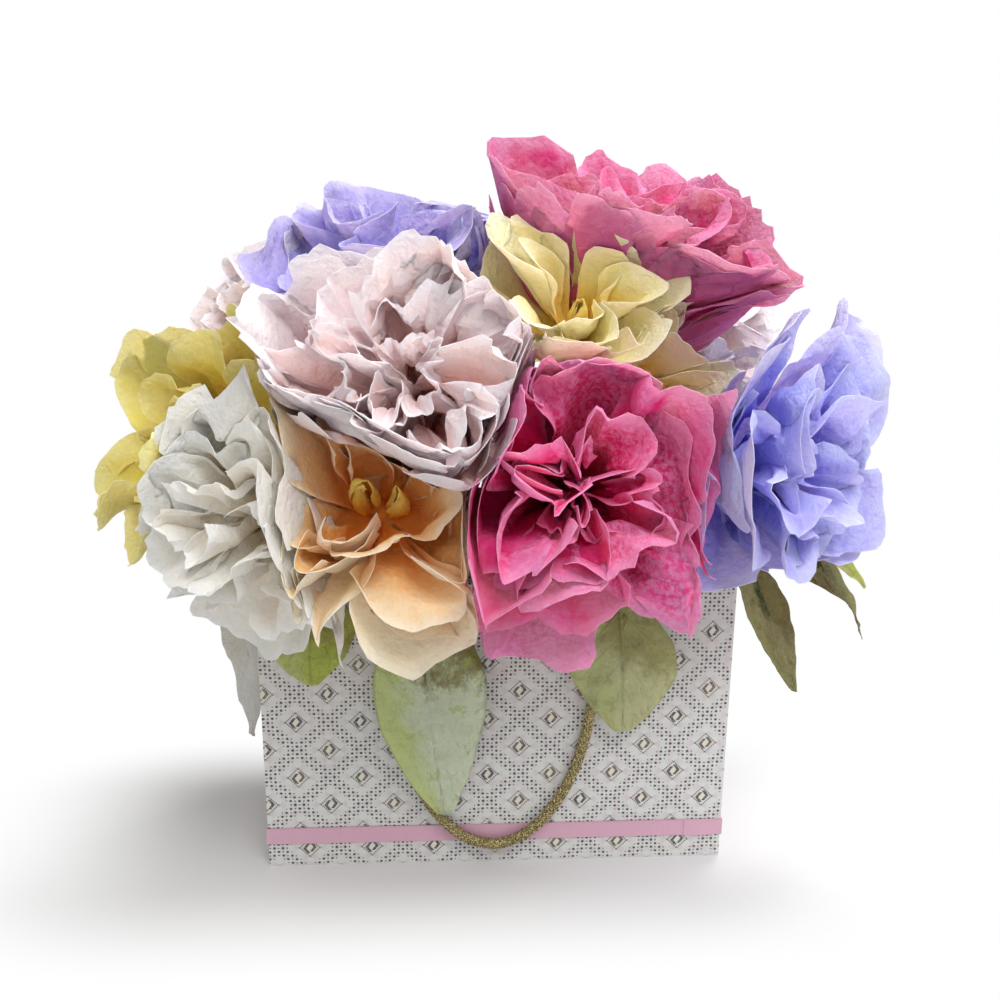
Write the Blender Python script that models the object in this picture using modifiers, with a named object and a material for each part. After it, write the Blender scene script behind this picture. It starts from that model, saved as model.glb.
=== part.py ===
# Paper flower arrangement: blooms of cut paper on wired stems and paper leaves on wire stalks,
# pushed into a foam block that stands in a folded paper gift bag with a ribbon band and a cord handle.
# Metres, +Z up. The origin is the middle of the bag's underside, the front of the bag faces -Y.

import math
import random

import bmesh
import bpy
from mathutils import Matrix, Vector

MM = 0.001

# Gift bag
BAG_WIDTH = 240 * MM
BAG_DEPTH = 100 * MM
BAG_HEIGHT = 156 * MM
BAG_WALL = 0.8 * MM
HEM_HEIGHT = 32 * MM  # the rim is turned in over this height, so the wall is double there
GUSSET_TUCK = 3 * MM  # how far the crease in the middle of each side leans in
FLOOR_THICKNESS = 0.8 * MM
HOLE_BELOW_RIM = 25 * MM
HOLE_SPACING = 96 * MM
FIT_GAP = 0.3 * MM  # air left between two pieces that touch

# Board and foam inside the bag
CARD_THICKNESS = 1.5 * MM
CARD_CLEARANCE = 1.0 * MM
FOAM_HEIGHT = 110 * MM
FOAM_SIDE_GAP = 1.4 * MM  # from the foam's ends to the bag's creases
FOAM_FRONT_GAP = 8.4 * MM  # from the foam to the bag's front and back, where the knots have room
FOAM_LENGTH = BAG_WIDTH - 2 * (GUSSET_TUCK + 2 * BAG_WALL + FOAM_SIDE_GAP)
FOAM_DEPTH = BAG_DEPTH - 2 * (2 * BAG_WALL + FOAM_FRONT_GAP)

# Ribbon band
RIBBON_WIDTH = 9.2 * MM
RIBBON_THICKNESS = 0.5 * MM
RIBBON_MIDDLE_HEIGHT = 18 * MM
RIBBON_LAP_LENGTH = 16 * MM
RIBBON_LAP_FROM_CORNER = 4 * MM

# Cord handle
CORD_DIAMETER = 6 * MM
KNOT_RADIUS = 6.5 * MM
KNOT_THICKNESS = 9 * MM
# The cord's route, in millimetres from the foot of the bag's front: out of the left hole, down and up
# to the right hole.
CORD_ROUTE = [
    (-48, -2.5, 131), (-48, -4.6, 131), (-48, -7.6, 129.4), (-48.2, -9.8, 126), (-48.6, -10.4, 121),
    (-49.2, -9.8, 111), (-49.6, -7.8, 98), (-49, -5.8, 84), (-47, -4.8, 70), (-43.2, -4.4, 55),
    (-37, -4.4, 40.5), (-27.5, -4.4, 27), (-15.5, -4.4, 17), (-1, -4.4, 13.2), (12, -4.4, 17.4),
    (23.5, -4.4, 27), (33, -4.4, 41), (39.8, -4.4, 56), (44, -4.8, 71), (46.4, -5.8, 85),
    (47.6, -7.8, 99), (48, -9.8, 112), (48, -10.4, 121), (48, -9.8, 126), (48, -7.6, 129.4),
    (48, -4.6, 131), (48, -2.5, 131),
]

# Stems and stalks
STEM_RADIUS = 1.7 * MM
STALK_RADIUS = 1.1 * MM
HOLE_CLEARANCE = 0.3 * MM
STEM_DEPTH = 62 * MM  # how deep the stems are pushed into the foam
STALK_DEPTH = 34 * MM
STEM_SIDES = 5
STEM_STEPS = 4
STEM_HANDLE = 0.42  # length of the curve's handles, as a share of the way from foam to bloom

# Leaves
LEAF_BENDS = 4

# Blooms
PETAL_THICKNESS = 0.9 * MM
RECEPTACLE_HEIGHT = 7 * MM
RECEPTACLE_FOOT = 3.6 * MM
RECEPTACLE_TOP = 7.2 * MM
RECEPTACLE_SIDES = 6
ROOT_DEPTH = 1.3 * MM  # how far the petals' roots run into the receptacle
BUD_RADIUS = 4.8 * MM
WHORL_TURN = 0.9  # turn of each whorl against the one outside it, in radians
TIP_ROUNDING = 0.2  # how much shorter a petal is at its edges
ROOT_SHARE = 0.66  # width of a petal at its root and its tip, as a share of its part of the whorl
TIP_SHARE = 1.02
EDGE_LIFT = 0.05  # how far a petal's edge rises over the next petal, its cup and its wave, in reaches
CUP = 0.07
WAVE = 0.05
BULK_HEIGHT = 0.35  # height of a bloom's middle above its foot, as a share of its reach
CELL_GAP = 0.6 * MM  # half the air between neighbouring blooms
PRESS_STEP = 1.2 * MM  # how much further in each whorl of petals is pressed, and half of it each second petal
PRESS_START = 0.66  # share of the way to a neighbour at which petals begin to crowd together
FRONT_CLEARANCE = 17 * MM  # blooms that hang before the bag stay this far off its front
RIM_CLEARANCE = 4 * MM  # the other blooms stay this far above the rim

# Each whorl of petals, from the outside in: number, length as a share of the reach, angle from
# the bloom's axis at root and tip in degrees, height of the root in millimetres, bends along a petal.
PEONY = [(6, 0.96, 66, 98, 1.6, 3), (4, 0.84, 42, 62, 3.4, 2), (3, 0.62, 22, 30, 5.2, 2)]
ROSE = [(5, 0.96, 60, 86, 1.8, 3), (4, 0.76, 32, 42, 4.6, 2)]
SPRAY = [(5, 0.96, 54, 72, 1.8, 2), (3, 0.80, 24, 34, 4.6, 2)]
PLAIN = [(5, 0.96, 60, 84, 1.8, 2), (3, 0.70, 30, 40, 4.6, 1)]

# The places on the bag's rim that blooms and leaves are set out from.
ANCHORS = {
    "middle": (0, 0, BAG_HEIGHT),
    "front": (0, -BAG_DEPTH / 2, BAG_HEIGHT),
    "left": (-BAG_WIDTH / 2, 0, BAG_HEIGHT),
    "right": (BAG_WIDTH / 2, 0, BAG_HEIGHT),
}

# Each bloom: anchor and middle (x, y, z) from it in millimetres, azimuth and elevation of the way it
# faces in degrees (0, 0 faces the front), reach of its petals in millimetres, whorls, hole in the foam
# as shares of its half length and half depth, paper.
BLOOMS = {
    "magenta_peony": (("front", (29, -57, 62)), 4, 4, 84, PEONY, (0.263, -0.55), "magenta_paper"),
    "peach_rose": (("front", (-57, -55, 61)), -4, 49, 70, PEONY, (-0.368, -0.55), "peach_paper"),
    "white_ruffle": (("front", (-110, -40, 46)), -30, 2, 66, ROSE, (-0.772, -0.5), "white_paper"),
    "yellow_lily": (("middle", (-139, -28, 61)), -54, 16, 86, SPRAY, (-0.877, 0.05), "yellow_paper"),
    "blush_peony": (("front", (-37, -42, 103)), -6, 34, 88, PEONY, (-0.193, -0.2), "blush_paper"),
    "lilac_peony": (("middle", (-44, -6, 147)), -10, 66, 90, ROSE, (-0.158, 0.2), "lilac_paper"),
    "pink_peony": (("middle", (56, -30, 155)), 8, 68, 98, PEONY, (0.246, 0.15), "pink_paper"),
    "cream_lily": (("middle", (34, -60, 136)), 0, 42, 62, SPRAY, (0.123, -0.2), "cream_paper"),
    "cream_rose": (("middle", (64, -58, 98)), 14, 6, 60, SPRAY, (0.421, -0.15), "cream_paper"),
    "lilac_rose": (("middle", (126, -67, 66)), 30, 2, 92, ROSE, (0.737, -0.35), "lilac_paper"),
    "blush_rose_left": (("middle", (-116, 18, 112)), -50, 26, 78, PLAIN, (-0.614, 0.25), "blush_paper"),
    "blush_rose_right": (("middle", (100, 16, 116)), 36, 20, 78, PLAIN, (0.649, 0.3), "blush_paper"),
    "white_rose_back": (("middle", (-84, 86, 52)), -158, 6, 64, PLAIN, (-0.456, 0.6), "white_paper"),
    "yellow_rose_back": (("middle", (-2, 84, 106)), 180, 28, 64, PLAIN, (0, 0.65), "yellow_paper"),
    "pink_rose_back": (("middle", (84, 88, 52)), 158, 6, 66, PLAIN, (0.456, 0.6), "pink_paper"),
}
FRONT_BLOOMS = ("magenta_peony", "peach_rose", "white_ruffle")

# Each leaf: anchor, hole in the foam as for a bloom, and in millimetres from the anchor where the stalk
# crosses the rim and four control points of the blade's spine, width, direction across the blade, paper.
LEAVES = {
    "leaf_front_large": (
        "front", (-0.263, -0.825), (-34, 4, 7),
        [(-35, -10, 5), (-36, -24, -16), (-36, -18, -64), (-27, -10.5, -121)], 56, (1, 0, 0.05), "leaf_paper"),
    "leaf_front_right": (
        "front", (0.404, -0.825), (56, 4, 7),
        [(57, -10, 5), (59, -24, -14), (62, -16, -44), (63, -12, -75)], 54, (1, 0, 0), "leaf_paper"),
    "leaf_front_left": (
        "front", (-0.614, -0.825), (-86, 4, 7),
        [(-88, -7, 5), (-92, -14, -8), (-94, -10, -28), (-93, -9, -48)], 44, (1, 0, 0), "leaf_paper"),
    "leaf_right_down": (
        "right", (0.807, -0.65), (-12, -32, 16),
        [(2, -38, 10), (18, -44, -4), (20, -48, -34), (34, -50, -60)], 24, (0.8, -0.6, 0.2), "leaf_paper"),
    "leaf_right_out": (
        "right", (0.86, -0.25), (-10, -14, 16),
        [(10, -20, 12), (38, -34, 12), (60, -44, 4), (66, -50, -30)], 28, (0.2, -0.5, -0.84), "leaf_paper"),
    "leaf_right_small": (
        "right", (0.877, 0.1), (-8, 4, 18),
        [(12, 0, 16), (40, -10, 20), (64, -16, 6), (78, -22, -14)], 12, (0.5, -0.3, 0.8), "leaf_paper"),
    "leaf_top_right": (
        "middle", (0.579, -0.05), (92, -4, 64),
        [(100, -6, 108), (106, -8, 128), (114, -10, 140), (128, -14, 162)], 24, (0.5, -0.85, 0), "leaf_paper"),
    "white_side_petal": (
        "left", (-0.86, 0.45), (8, 20, 15),
        [(-8, 21, 6), (-26, 22, -20), (-16, 24, -66), (-21, 28, -120)], 40, (0, 1, 0), "white_paper"),
}
# The room that a leaf takes among the blooms: its middle and its reach.
LEAF_ROOM = [("middle", (113, -9, 138), 14), ("middle", (99, -5, 104), 12)]

PAPERS = {
    "magenta_paper": (0.78, 0.07, 0.27),
    "pink_paper": (0.80, 0.28, 0.48),
    "peach_paper": (0.93, 0.66, 0.42),
    "blush_paper": (0.93, 0.76, 0.72),
    "white_paper": (0.86, 0.84, 0.81),
    "cream_paper": (0.93, 0.84, 0.58),
    "yellow_paper": (0.84, 0.77, 0.38),
    "lilac_paper": (0.58, 0.52, 0.83),
    "leaf_paper": (0.50, 0.56, 0.26),
}


def clear_scene():
    for obj in list(bpy.data.objects):
        bpy.data.objects.remove(obj)


def new_collection(name):
    collection = bpy.data.collections.new(name)
    bpy.context.scene.collection.children.link(collection)
    return collection


def new_material(name, colour, roughness, metallic=0.0):
    material = bpy.data.materials.new(name)
    material.use_nodes = True
    shader = material.node_tree.nodes["Principled BSDF"]
    shader.inputs["Base Color"].default_value = (*colour, 1.0)
    shader.inputs["Roughness"].default_value = roughness
    shader.inputs["Metallic"].default_value = metallic
    return material


def add_object(name, data, collection, material=None):
    obj = bpy.data.objects.new(name, data)
    if material:
        obj.data.materials.append(material)
    collection.objects.link(obj)
    return obj


def add_helper(name, data, collection=None):
    helper = add_object(name, data, collection or helpers)
    helper.hide_render = True
    helper.display_type = "WIRE"
    return helper


def mesh_from(bm, name):
    mesh = bpy.data.meshes.new(name)
    bmesh.ops.recalc_face_normals(bm, faces=bm.faces)
    bm.to_mesh(mesh)
    bm.free()
    return mesh


def shade_round(obj, angle=35):
    obj.data.shade_smooth()
    obj.data.set_sharp_from_angle(angle=math.radians(angle))


def add_boolean(obj, other, operation):
    modifier = obj.modifiers.new(other.name, "BOOLEAN")
    modifier.object = other
    modifier.operation = operation
    modifier.solver = "EXACT"


def fill_pockets(obj):
    # The modelled mesh without the sealed pockets that petals pressed together leave between them.
    graph = bpy.context.evaluated_depsgraph_get()
    mesh = bpy.data.meshes.new_from_object(obj.evaluated_get(graph))
    bm = bmesh.new()
    bm.from_mesh(mesh)
    shells = []
    left = set(bm.faces)
    while left:
        shell = [left.pop()]
        for face in shell:
            near = {other for edge in face.edges for other in edge.link_faces} & left
            left -= near
            shell.extend(near)
        shells.append(shell)
    for shell in shells:
        if shell_volume(shell) <= 0:
            bmesh.ops.delete(bm, geom=shell, context="FACES")
    bm.to_mesh(mesh)
    bm.free()
    obj.modifiers.clear()
    obj.data = mesh


def shell_volume(shell):
    volume = 0
    for face in shell:
        first = face.verts[0].co
        for a, b in zip(face.verts[1:], face.verts[2:]):
            volume += first.dot(a.co.cross(b.co)) / 6
    return volume


def prism(name, outline, bottom, top):
    # A flat outline raised to a solid between two heights.
    bm = bmesh.new()
    face = bm.faces.new([bm.verts.new((x, y, bottom)) for x, y in outline])
    raised = bmesh.ops.extrude_face_region(bm, geom=[face])
    verts = [item for item in raised["geom"] if isinstance(item, bmesh.types.BMVert)]
    bmesh.ops.translate(bm, verts=verts, vec=(0, 0, top - bottom))
    return mesh_from(bm, name)


def bag_outline(inset):
    # The bag seen from above: front and back panels, and sides creased down the middle.
    half_width = BAG_WIDTH / 2 - inset
    half_depth = BAG_DEPTH / 2 - inset
    crease = half_width - GUSSET_TUCK
    return [
        (-half_width, -half_depth),
        (half_width, -half_depth),
        (crease, 0),
        (half_width, half_depth),
        (-half_width, half_depth),
        (-crease, 0),
    ]


def box_mesh(name, size, centre):
    bm = bmesh.new()
    bmesh.ops.create_cube(bm, size=1)
    bmesh.ops.scale(bm, verts=bm.verts, vec=size)
    bmesh.ops.translate(bm, verts=bm.verts, vec=centre)
    return mesh_from(bm, name)


def rods_mesh(name, rods, sides):
    # Straight round rods in one mesh, each from start to end.
    bm = bmesh.new()
    for start, end, radius in rods:
        along = end - start
        turn = along.to_track_quat("Z", "Y").to_matrix().to_4x4()
        place = Matrix.Translation((start + end) / 2) @ turn
        bmesh.ops.create_cone(
            bm, cap_ends=True, segments=sides, radius1=radius, radius2=radius, depth=along.length, matrix=place)
    return mesh_from(bm, name)


def make_bag():
    bag = add_object("gift_bag", prism("gift_bag", bag_outline(0), 0, BAG_HEIGHT), parts, bag_paper)
    over = BAG_HEIGHT + 10 * MM
    inside = prism("bag_inside", bag_outline(BAG_WALL), FLOOR_THICKNESS, BAG_HEIGHT - HEM_HEIGHT)
    mouth = prism("bag_mouth", bag_outline(2 * BAG_WALL), BAG_HEIGHT - HEM_HEIGHT - BAG_WALL, over)
    for name, mesh in (("bag_inside", inside), ("bag_mouth", mouth)):
        add_boolean(bag, add_helper(name, mesh), "DIFFERENCE")
    height = BAG_HEIGHT - HOLE_BELOW_RIM
    depth = BAG_DEPTH / 2
    radius = CORD_DIAMETER / 2 + HOLE_CLEARANCE
    holes = []
    for x in (-HOLE_SPACING / 2, HOLE_SPACING / 2):
        for wall in (-depth, depth):
            middle = Vector((x, wall, height))
            reach = Vector((0, 5 * BAG_WALL, 0))
            holes.append((middle - reach, middle + reach, radius))
    add_boolean(bag, add_helper("bag_holes", rods_mesh("bag_holes", holes, 12)), "DIFFERENCE")


def make_card():
    outline = bag_outline(BAG_WALL + CARD_CLEARANCE)
    bottom = FLOOR_THICKNESS + FIT_GAP
    mesh = prism("base_card", outline, bottom, bottom + CARD_THICKNESS)
    add_object("base_card", mesh, parts, grey_board)
    return bottom + CARD_THICKNESS + FIT_GAP


def make_foam(bottom, rods):
    centre = (0, 0, bottom + FOAM_HEIGHT / 2)
    mesh = box_mesh("foam_block", (FOAM_LENGTH, FOAM_DEPTH, FOAM_HEIGHT), centre)
    foam = add_object("foam_block", mesh, parts, foam_green)
    add_boolean(foam, add_helper("foam_holes", rods_mesh("foam_holes", rods, STEM_SIDES)), "DIFFERENCE")


def make_ribbon():
    low = RIBBON_MIDDLE_HEIGHT - RIBBON_WIDTH / 2
    high = RIBBON_MIDDLE_HEIGHT + RIBBON_WIDTH / 2
    outer = prism("ribbon_band", bag_outline(-FIT_GAP - RIBBON_THICKNESS), low, high)
    ribbon = add_object("ribbon_band", outer, parts, ribbon_pink)
    inner = prism("ribbon_inside", bag_outline(-FIT_GAP), low - RIBBON_WIDTH, high + RIBBON_WIDTH)
    add_boolean(ribbon, add_helper("ribbon_inside", inner), "DIFFERENCE")
    # The ribbon's end laps over its start near the front right corner.
    face = -BAG_DEPTH / 2 - FIT_GAP - RIBBON_THICKNESS
    size = (RIBBON_LAP_LENGTH, 2 * RIBBON_THICKNESS * 0.9, RIBBON_WIDTH)
    x = BAG_WIDTH / 2 - RIBBON_LAP_FROM_CORNER - RIBBON_LAP_LENGTH / 2
    lap = box_mesh("ribbon_lap", size, (x, face, RIBBON_MIDDLE_HEIGHT))
    add_boolean(ribbon, add_helper("ribbon_lap", lap), "UNION")


def tube_curve(name, points, radius, resolution):
    curve = bpy.data.curves.new(name, "CURVE")
    curve.dimensions = "3D"
    curve.bevel_depth = radius
    curve.bevel_resolution = resolution
    curve.use_fill_caps = True
    spline = curve.splines.new("POLY")
    spline.points.add(len(points) - 1)
    for spline_point, point in zip(spline.points, points):
        spline_point.co = (*point, 1)
    return curve


def through(points, steps):
    # A smooth line through the points, with the given number of steps between each two.
    ends = [2 * points[0] - points[1], *points, 2 * points[-1] - points[-2]]
    line = []
    for i in range(len(points) - 1):
        a, b, c, d = ends[i : i + 4]
        for k in range(steps):
            t = k / steps
            line.append(
                0.5 * (2 * b + (c - a) * t + (2 * a - 5 * b + 4 * c - d) * t**2 + (3 * b - a - 3 * c + d) * t**3))
    line.append(points[-1])
    return line


def make_handle():
    front = Vector((0, -BAG_DEPTH / 2, 0))
    route = [front + Vector(point) * MM for point in CORD_ROUTE]
    add_object("handle_cord", tube_curve("handle_cord", route, CORD_DIAMETER / 2, 2), parts, gold_cord)
    # The cord's ends are knotted inside the bag, each knot a flattened ball against the hem.
    wall = -BAG_DEPTH / 2 + 2 * BAG_WALL
    height = BAG_HEIGHT - HOLE_BELOW_RIM
    neck = CORD_DIAMETER / 2
    start = route[0].y + FIT_GAP
    for side, x in (("left", -HOLE_SPACING / 2), ("right", HOLE_SPACING / 2)):
        bm = bmesh.new()
        place = Matrix.Translation((x, wall + FIT_GAP + KNOT_THICKNESS / 2, height))
        squash = Matrix.Diagonal((KNOT_RADIUS, KNOT_THICKNESS / 2, KNOT_RADIUS, 1))
        bmesh.ops.create_uvsphere(bm, u_segments=8, v_segments=5, radius=1, matrix=place @ squash)
        knot = add_object(f"handle_knot_{side}", mesh_from(bm, "knot"), parts, gold_cord)
        # The stub of cord that fills the hole.
        inner = Vector((x, wall + KNOT_THICKNESS / 2, height))
        outer = Vector((x, start, height))
        stub = rods_mesh("knot_stub", [(outer, inner, neck)], 8)
        add_boolean(knot, add_helper(f"knot_stub_{side}", stub), "UNION")
        shade_round(knot)


def anchored(anchor, point):
    return Vector(ANCHORS[anchor]) + Vector(point) * MM


def foam_hole(shares, foam_top):
    return Vector((shares[0] * FOAM_LENGTH / 2, shares[1] * FOAM_DEPTH / 2, foam_top))


def facing(azimuth, elevation):
    a, e = math.radians(azimuth), math.radians(elevation)
    return Vector((math.sin(a) * math.cos(e), -math.cos(a) * math.cos(e), math.sin(e)))


class Bloom:
    # Where a bloom stands, how far it reaches and which neighbours crowd it.
    def __init__(self, name, row):
        middle, azimuth, elevation, reach, self.whorls, hole, self.paper = row
        self.name = name
        self.axis = facing(azimuth, elevation)
        self.middle = anchored(*middle)
        self.reach = reach * MM
        self.foot = self.middle - self.axis * BULK_HEIGHT * self.reach
        self.turn = self.axis.to_track_quat("Z", "Y").to_matrix().to_4x4()
        self.frame = Matrix.Translation(self.foot) @ self.turn
        self.hole = hole
        self.bounds = []

    def add_bounds(self, neighbours):
        # Flat bounds that the petals stay behind: (normal, distance from the bloom's middle).
        for middle, reach in neighbours:
            gap = middle - self.middle
            if gap.length == 0:
                continue
            share = gap.length * self.reach / (self.reach + reach)
            self.bounds.append((gap.normalized(), share - CELL_GAP))
        if self.name in FRONT_BLOOMS:
            back = -BAG_DEPTH / 2 - FRONT_CLEARANCE
            self.bounds.append((Vector((0, 1, 0)), back - self.middle.y))
        else:
            self.bounds.append((Vector((0, 0, -1)), self.middle.z - BAG_HEIGHT - RIM_CLEARANCE))

    def pressed(self, point, inset):
        # The point moved in from each bound that it would cross, the nearer the bound the more.
        for _ in range(3):
            for normal, bound in self.bounds:
                limit = bound - inset
                start = PRESS_START * limit
                beyond = (point - self.middle).dot(normal) - start
                if beyond > 0:
                    room = limit - start
                    point = point - normal * (beyond - room * (1 - math.exp(-beyond / room)))
        return point


def petal_point(u, v, bloom, whorl, heading, size, phase):
    # A point of a petal's middle surface. u runs from -1 to 1 across it and v from 0 to 1 along it.
    count, length, root_angle, tip_angle, root_height, _ = whorl
    along = v * (1 - TIP_ROUNDING * u * u)
    first, last = math.radians(root_angle), math.radians(tip_angle)
    lean = first + (last - first) * along
    run = length * bloom.reach * size / (last - first)
    flare = (RECEPTACLE_TOP - RECEPTACLE_FOOT) * root_height * MM / RECEPTACLE_HEIGHT
    radius = RECEPTACLE_FOOT + flare - ROOT_DEPTH + run * (math.cos(first) - math.cos(lean))
    height = root_height * MM + run * (math.sin(lean) - math.sin(first))
    share = ROOT_SHARE + (TIP_SHARE - ROOT_SHARE) * v
    angle = heading + u * share * math.pi / count
    # One edge rises over the next petal, the middle is cupped and the tip waves.
    wave = WAVE * v * math.sin(2.6 * u + phase) * (1 - u * u)
    lift = bloom.reach * v * (EDGE_LIFT * u + CUP * v * u * u + wave)
    radius -= lift * math.cos(lean)
    height += lift * math.sin(lean)
    return Vector((radius * math.cos(angle), radius * math.sin(angle), height))


def add_petal(bloom, whorl, heading, inset, rng, sheets):
    # A grid bent to the petal's form and pressed in by the neighbours, thickened to a sheet.
    bm = bmesh.new()
    size = rng.uniform(0.9, 1.06)
    phase = rng.uniform(0, 2 * math.pi)
    bmesh.ops.create_grid(bm, x_segments=2, y_segments=whorl[-1], size=1)
    for vert in bm.verts:
        u, v = vert.co.x, (vert.co.y + 1) / 2
        free = bloom.frame @ petal_point(u, v, bloom, whorl, heading, size, phase)
        held = min(1, v / 0.34)
        vert.co = free.lerp(bloom.pressed(free, inset), held)
    mesh = bpy.data.meshes.new(f"{bloom.name}_petal")
    bm.to_mesh(mesh)
    bm.free()
    thicken(add_helper(mesh.name, mesh, sheets))


def thicken(sheet):
    paper = sheet.modifiers.new("paper", "SOLIDIFY")
    paper.thickness = PETAL_THICKNESS
    paper.offset = 0


def make_petals(bloom, rng):
    # The receptacle with every petal glued to it, as one solid.
    bm = bmesh.new()
    bmesh.ops.create_cone(
        bm, cap_ends=True, segments=RECEPTACLE_SIDES, radius1=RECEPTACLE_FOOT, radius2=RECEPTACLE_TOP,
        depth=RECEPTACLE_HEIGHT, matrix=Matrix.Translation((0, 0, RECEPTACLE_HEIGHT / 2)))
    petals = add_object(f"{bloom.name}_petals", mesh_from(bm, bloom.name), parts, papers[bloom.paper])
    petals.matrix_world = bloom.frame
    sheets = bpy.data.collections.new(f"{bloom.name}_sheets")
    helpers.children.link(sheets)
    for number, whorl in enumerate(bloom.whorls):
        count = whorl[0]
        for k in range(count):
            heading = number * WHORL_TURN + 2 * math.pi * k / count
            inset = (2 * number + k % 2) * PRESS_STEP
            add_petal(bloom, whorl, heading, inset, rng, sheets)
    # The exact solver loses pieces of petals that are pressed together.
    glue = petals.modifiers.new("glue", "BOOLEAN")
    glue.operand_type = "COLLECTION"
    glue.collection = sheets
    glue.operation = "UNION"
    glue.solver = "MANIFOLD"
    fill_pockets(petals)


def make_bud(bloom):
    # The rolled heart, a turned bud that stands on the receptacle.
    tall = 0.34 * bloom.reach
    foot = RECEPTACLE_HEIGHT + FIT_GAP
    profile = [(0, foot + tall), (0.9, foot + 0.62 * tall), (0.7, foot), (0, foot)]
    bm = bmesh.new()
    verts = [bm.verts.new((share * BUD_RADIUS, 0, z)) for share, z in profile]
    for a, b in zip(verts, verts[1:]):
        bm.edges.new((a, b))
    mesh = bpy.data.meshes.new(f"{bloom.name}_bud")
    bm.to_mesh(mesh)
    bm.free()
    bud = add_object(f"{bloom.name}_bud", mesh, parts, papers[bloom.paper])
    bud.matrix_world = bloom.frame
    turned = bud.modifiers.new("turned", "SCREW")
    turned.steps = turned.render_steps = RECEPTACLE_SIDES
    turned.use_merge_vertices = True
    turned.merge_threshold = 0.01 * MM


def bezier(a, b, c, d, steps):
    return [
        a * (1 - t) ** 3 + b * 3 * t * (1 - t) ** 2 + c * 3 * t * t * (1 - t) + d * t**3
        for t in (k / steps for k in range(steps + 1))
    ]


def make_stem(bloom, foam_top):
    # From the foam straight up, then in one curve to the bloom's foot. Returns its hole in the foam.
    entry = foam_hole(bloom.hole, foam_top)
    end = bloom.foot - bloom.axis * FIT_GAP
    handle = STEM_HANDLE * (end - entry).length
    line = bezier(entry, entry + Vector((0, 0, handle)), end - bloom.axis * handle * 0.6, end, STEM_STEPS)
    bottom = entry - Vector((0, 0, STEM_DEPTH))
    mesh = sweep([bottom, *line], STEM_RADIUS, f"{bloom.name}_stem", bloom.axis)
    add_object(f"{bloom.name}_stem", mesh, parts, stem_tape)
    return hole_rod(entry, bottom, STEM_RADIUS)


def sweep(points, radius, name, last=None):
    # A rod along the points, with its second section square to +Z and its last to the given way.
    bm = bmesh.new()
    rings = []
    side = Vector((1, 0, 0))
    for i, point in enumerate(points):
        before = points[max(i - 1, 0)]
        after = points[min(i + 1, len(points) - 1)]
        along = (after - before).normalized()
        if i == 1:
            along = Vector((0, 0, 1))
        if last and point is points[-1]:
            along = last
        side = (side - along * side.dot(along)).normalized()
        other = along.cross(side)
        angles = [2 * math.pi * k / STEM_SIDES for k in range(STEM_SIDES)]
        rings.append([bm.verts.new(point + radius * (side * math.cos(a) + other * math.sin(a))) for a in angles])
    for lower, upper in zip(rings, rings[1:]):
        for k in range(STEM_SIDES):
            n = (k + 1) % STEM_SIDES
            bm.faces.new((lower[k], lower[n], upper[n], upper[k]))
    bm.faces.new(rings[0][::-1])
    bm.faces.new(rings[-1])
    return mesh_from(bm, name)


def hole_rod(entry, bottom, radius):
    # The cutter of a hole in the foam that clears a rod of this radius all round and below.
    above = Vector((0, 0, 5 * MM))
    return bottom - Vector((0, 0, HOLE_CLEARANCE)), entry + above, radius + HOLE_CLEARANCE / math.cos(math.pi / STEM_SIDES)


def make_leaf(name, row, foam_top):
    # A blade folded along its midrib, on a wire stalk that runs over the rim into the foam.
    anchor, hole, crossing, spine, width, across, paper = row
    entry = foam_hole(hole, foam_top)
    bottom = entry - Vector((0, 0, STALK_DEPTH))
    controls = [anchored(anchor, point) for point in spine]
    blade_line = bezier(*controls, LEAF_BENDS)
    stalk_line = [bottom, *through([entry, anchored(anchor, crossing), blade_line[0], blade_line[1]], 2)]
    leaf = add_object(name, sweep(stalk_line, STALK_RADIUS, name), parts, papers[paper])
    side = Vector(across).normalized()
    bm = bmesh.new()
    grid = bmesh.ops.create_grid(bm, x_segments=2, y_segments=LEAF_BENDS, size=1)
    for vert in grid["verts"]:
        u, v = vert.co.x, (vert.co.y + 1) / 2
        k = round(v * LEAF_BENDS)
        ahead = blade_line[min(k + 1, LEAF_BENDS)] - blade_line[max(k - 1, 0)]
        fold = side.cross(ahead).normalized()
        half = width * MM / 2 * (0.08 + 0.92 * math.sin(math.pi * min(1, 0.06 + 0.92 * v) ** 0.9))
        vert.co = blade_line[k] + side * u * half + fold * abs(u) * half * 0.12
    mesh = bpy.data.meshes.new(f"{name}_blade")
    bm.to_mesh(mesh)
    bm.free()
    blade = add_helper(f"{name}_blade", mesh)
    thicken(blade)
    add_boolean(leaf, blade, "UNION")
    return hole_rod(entry, bottom, STALK_RADIUS)


clear_scene()
parts = new_collection("paper_flower_arrangement")
helpers = new_collection("helpers")

bag_paper = new_material("bag_paper", (0.80, 0.76, 0.76), 0.6)
grey_board = new_material("grey_board", (0.52, 0.49, 0.44), 0.9)
foam_green = new_material("foam_green", (0.16, 0.27, 0.15), 0.95)
ribbon_pink = new_material("ribbon_pink", (0.86, 0.55, 0.68), 0.5)
gold_cord = new_material("gold_cord", (0.50, 0.40, 0.20), 0.35, 0.7)
stem_tape = new_material("stem_tape", (0.33, 0.40, 0.17), 0.8)
papers = {name: new_material(name, colour, 0.85) for name, colour in PAPERS.items()}

make_bag()
foam_bottom = make_card()
foam_top = foam_bottom + FOAM_HEIGHT
make_ribbon()
make_handle()

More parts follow.
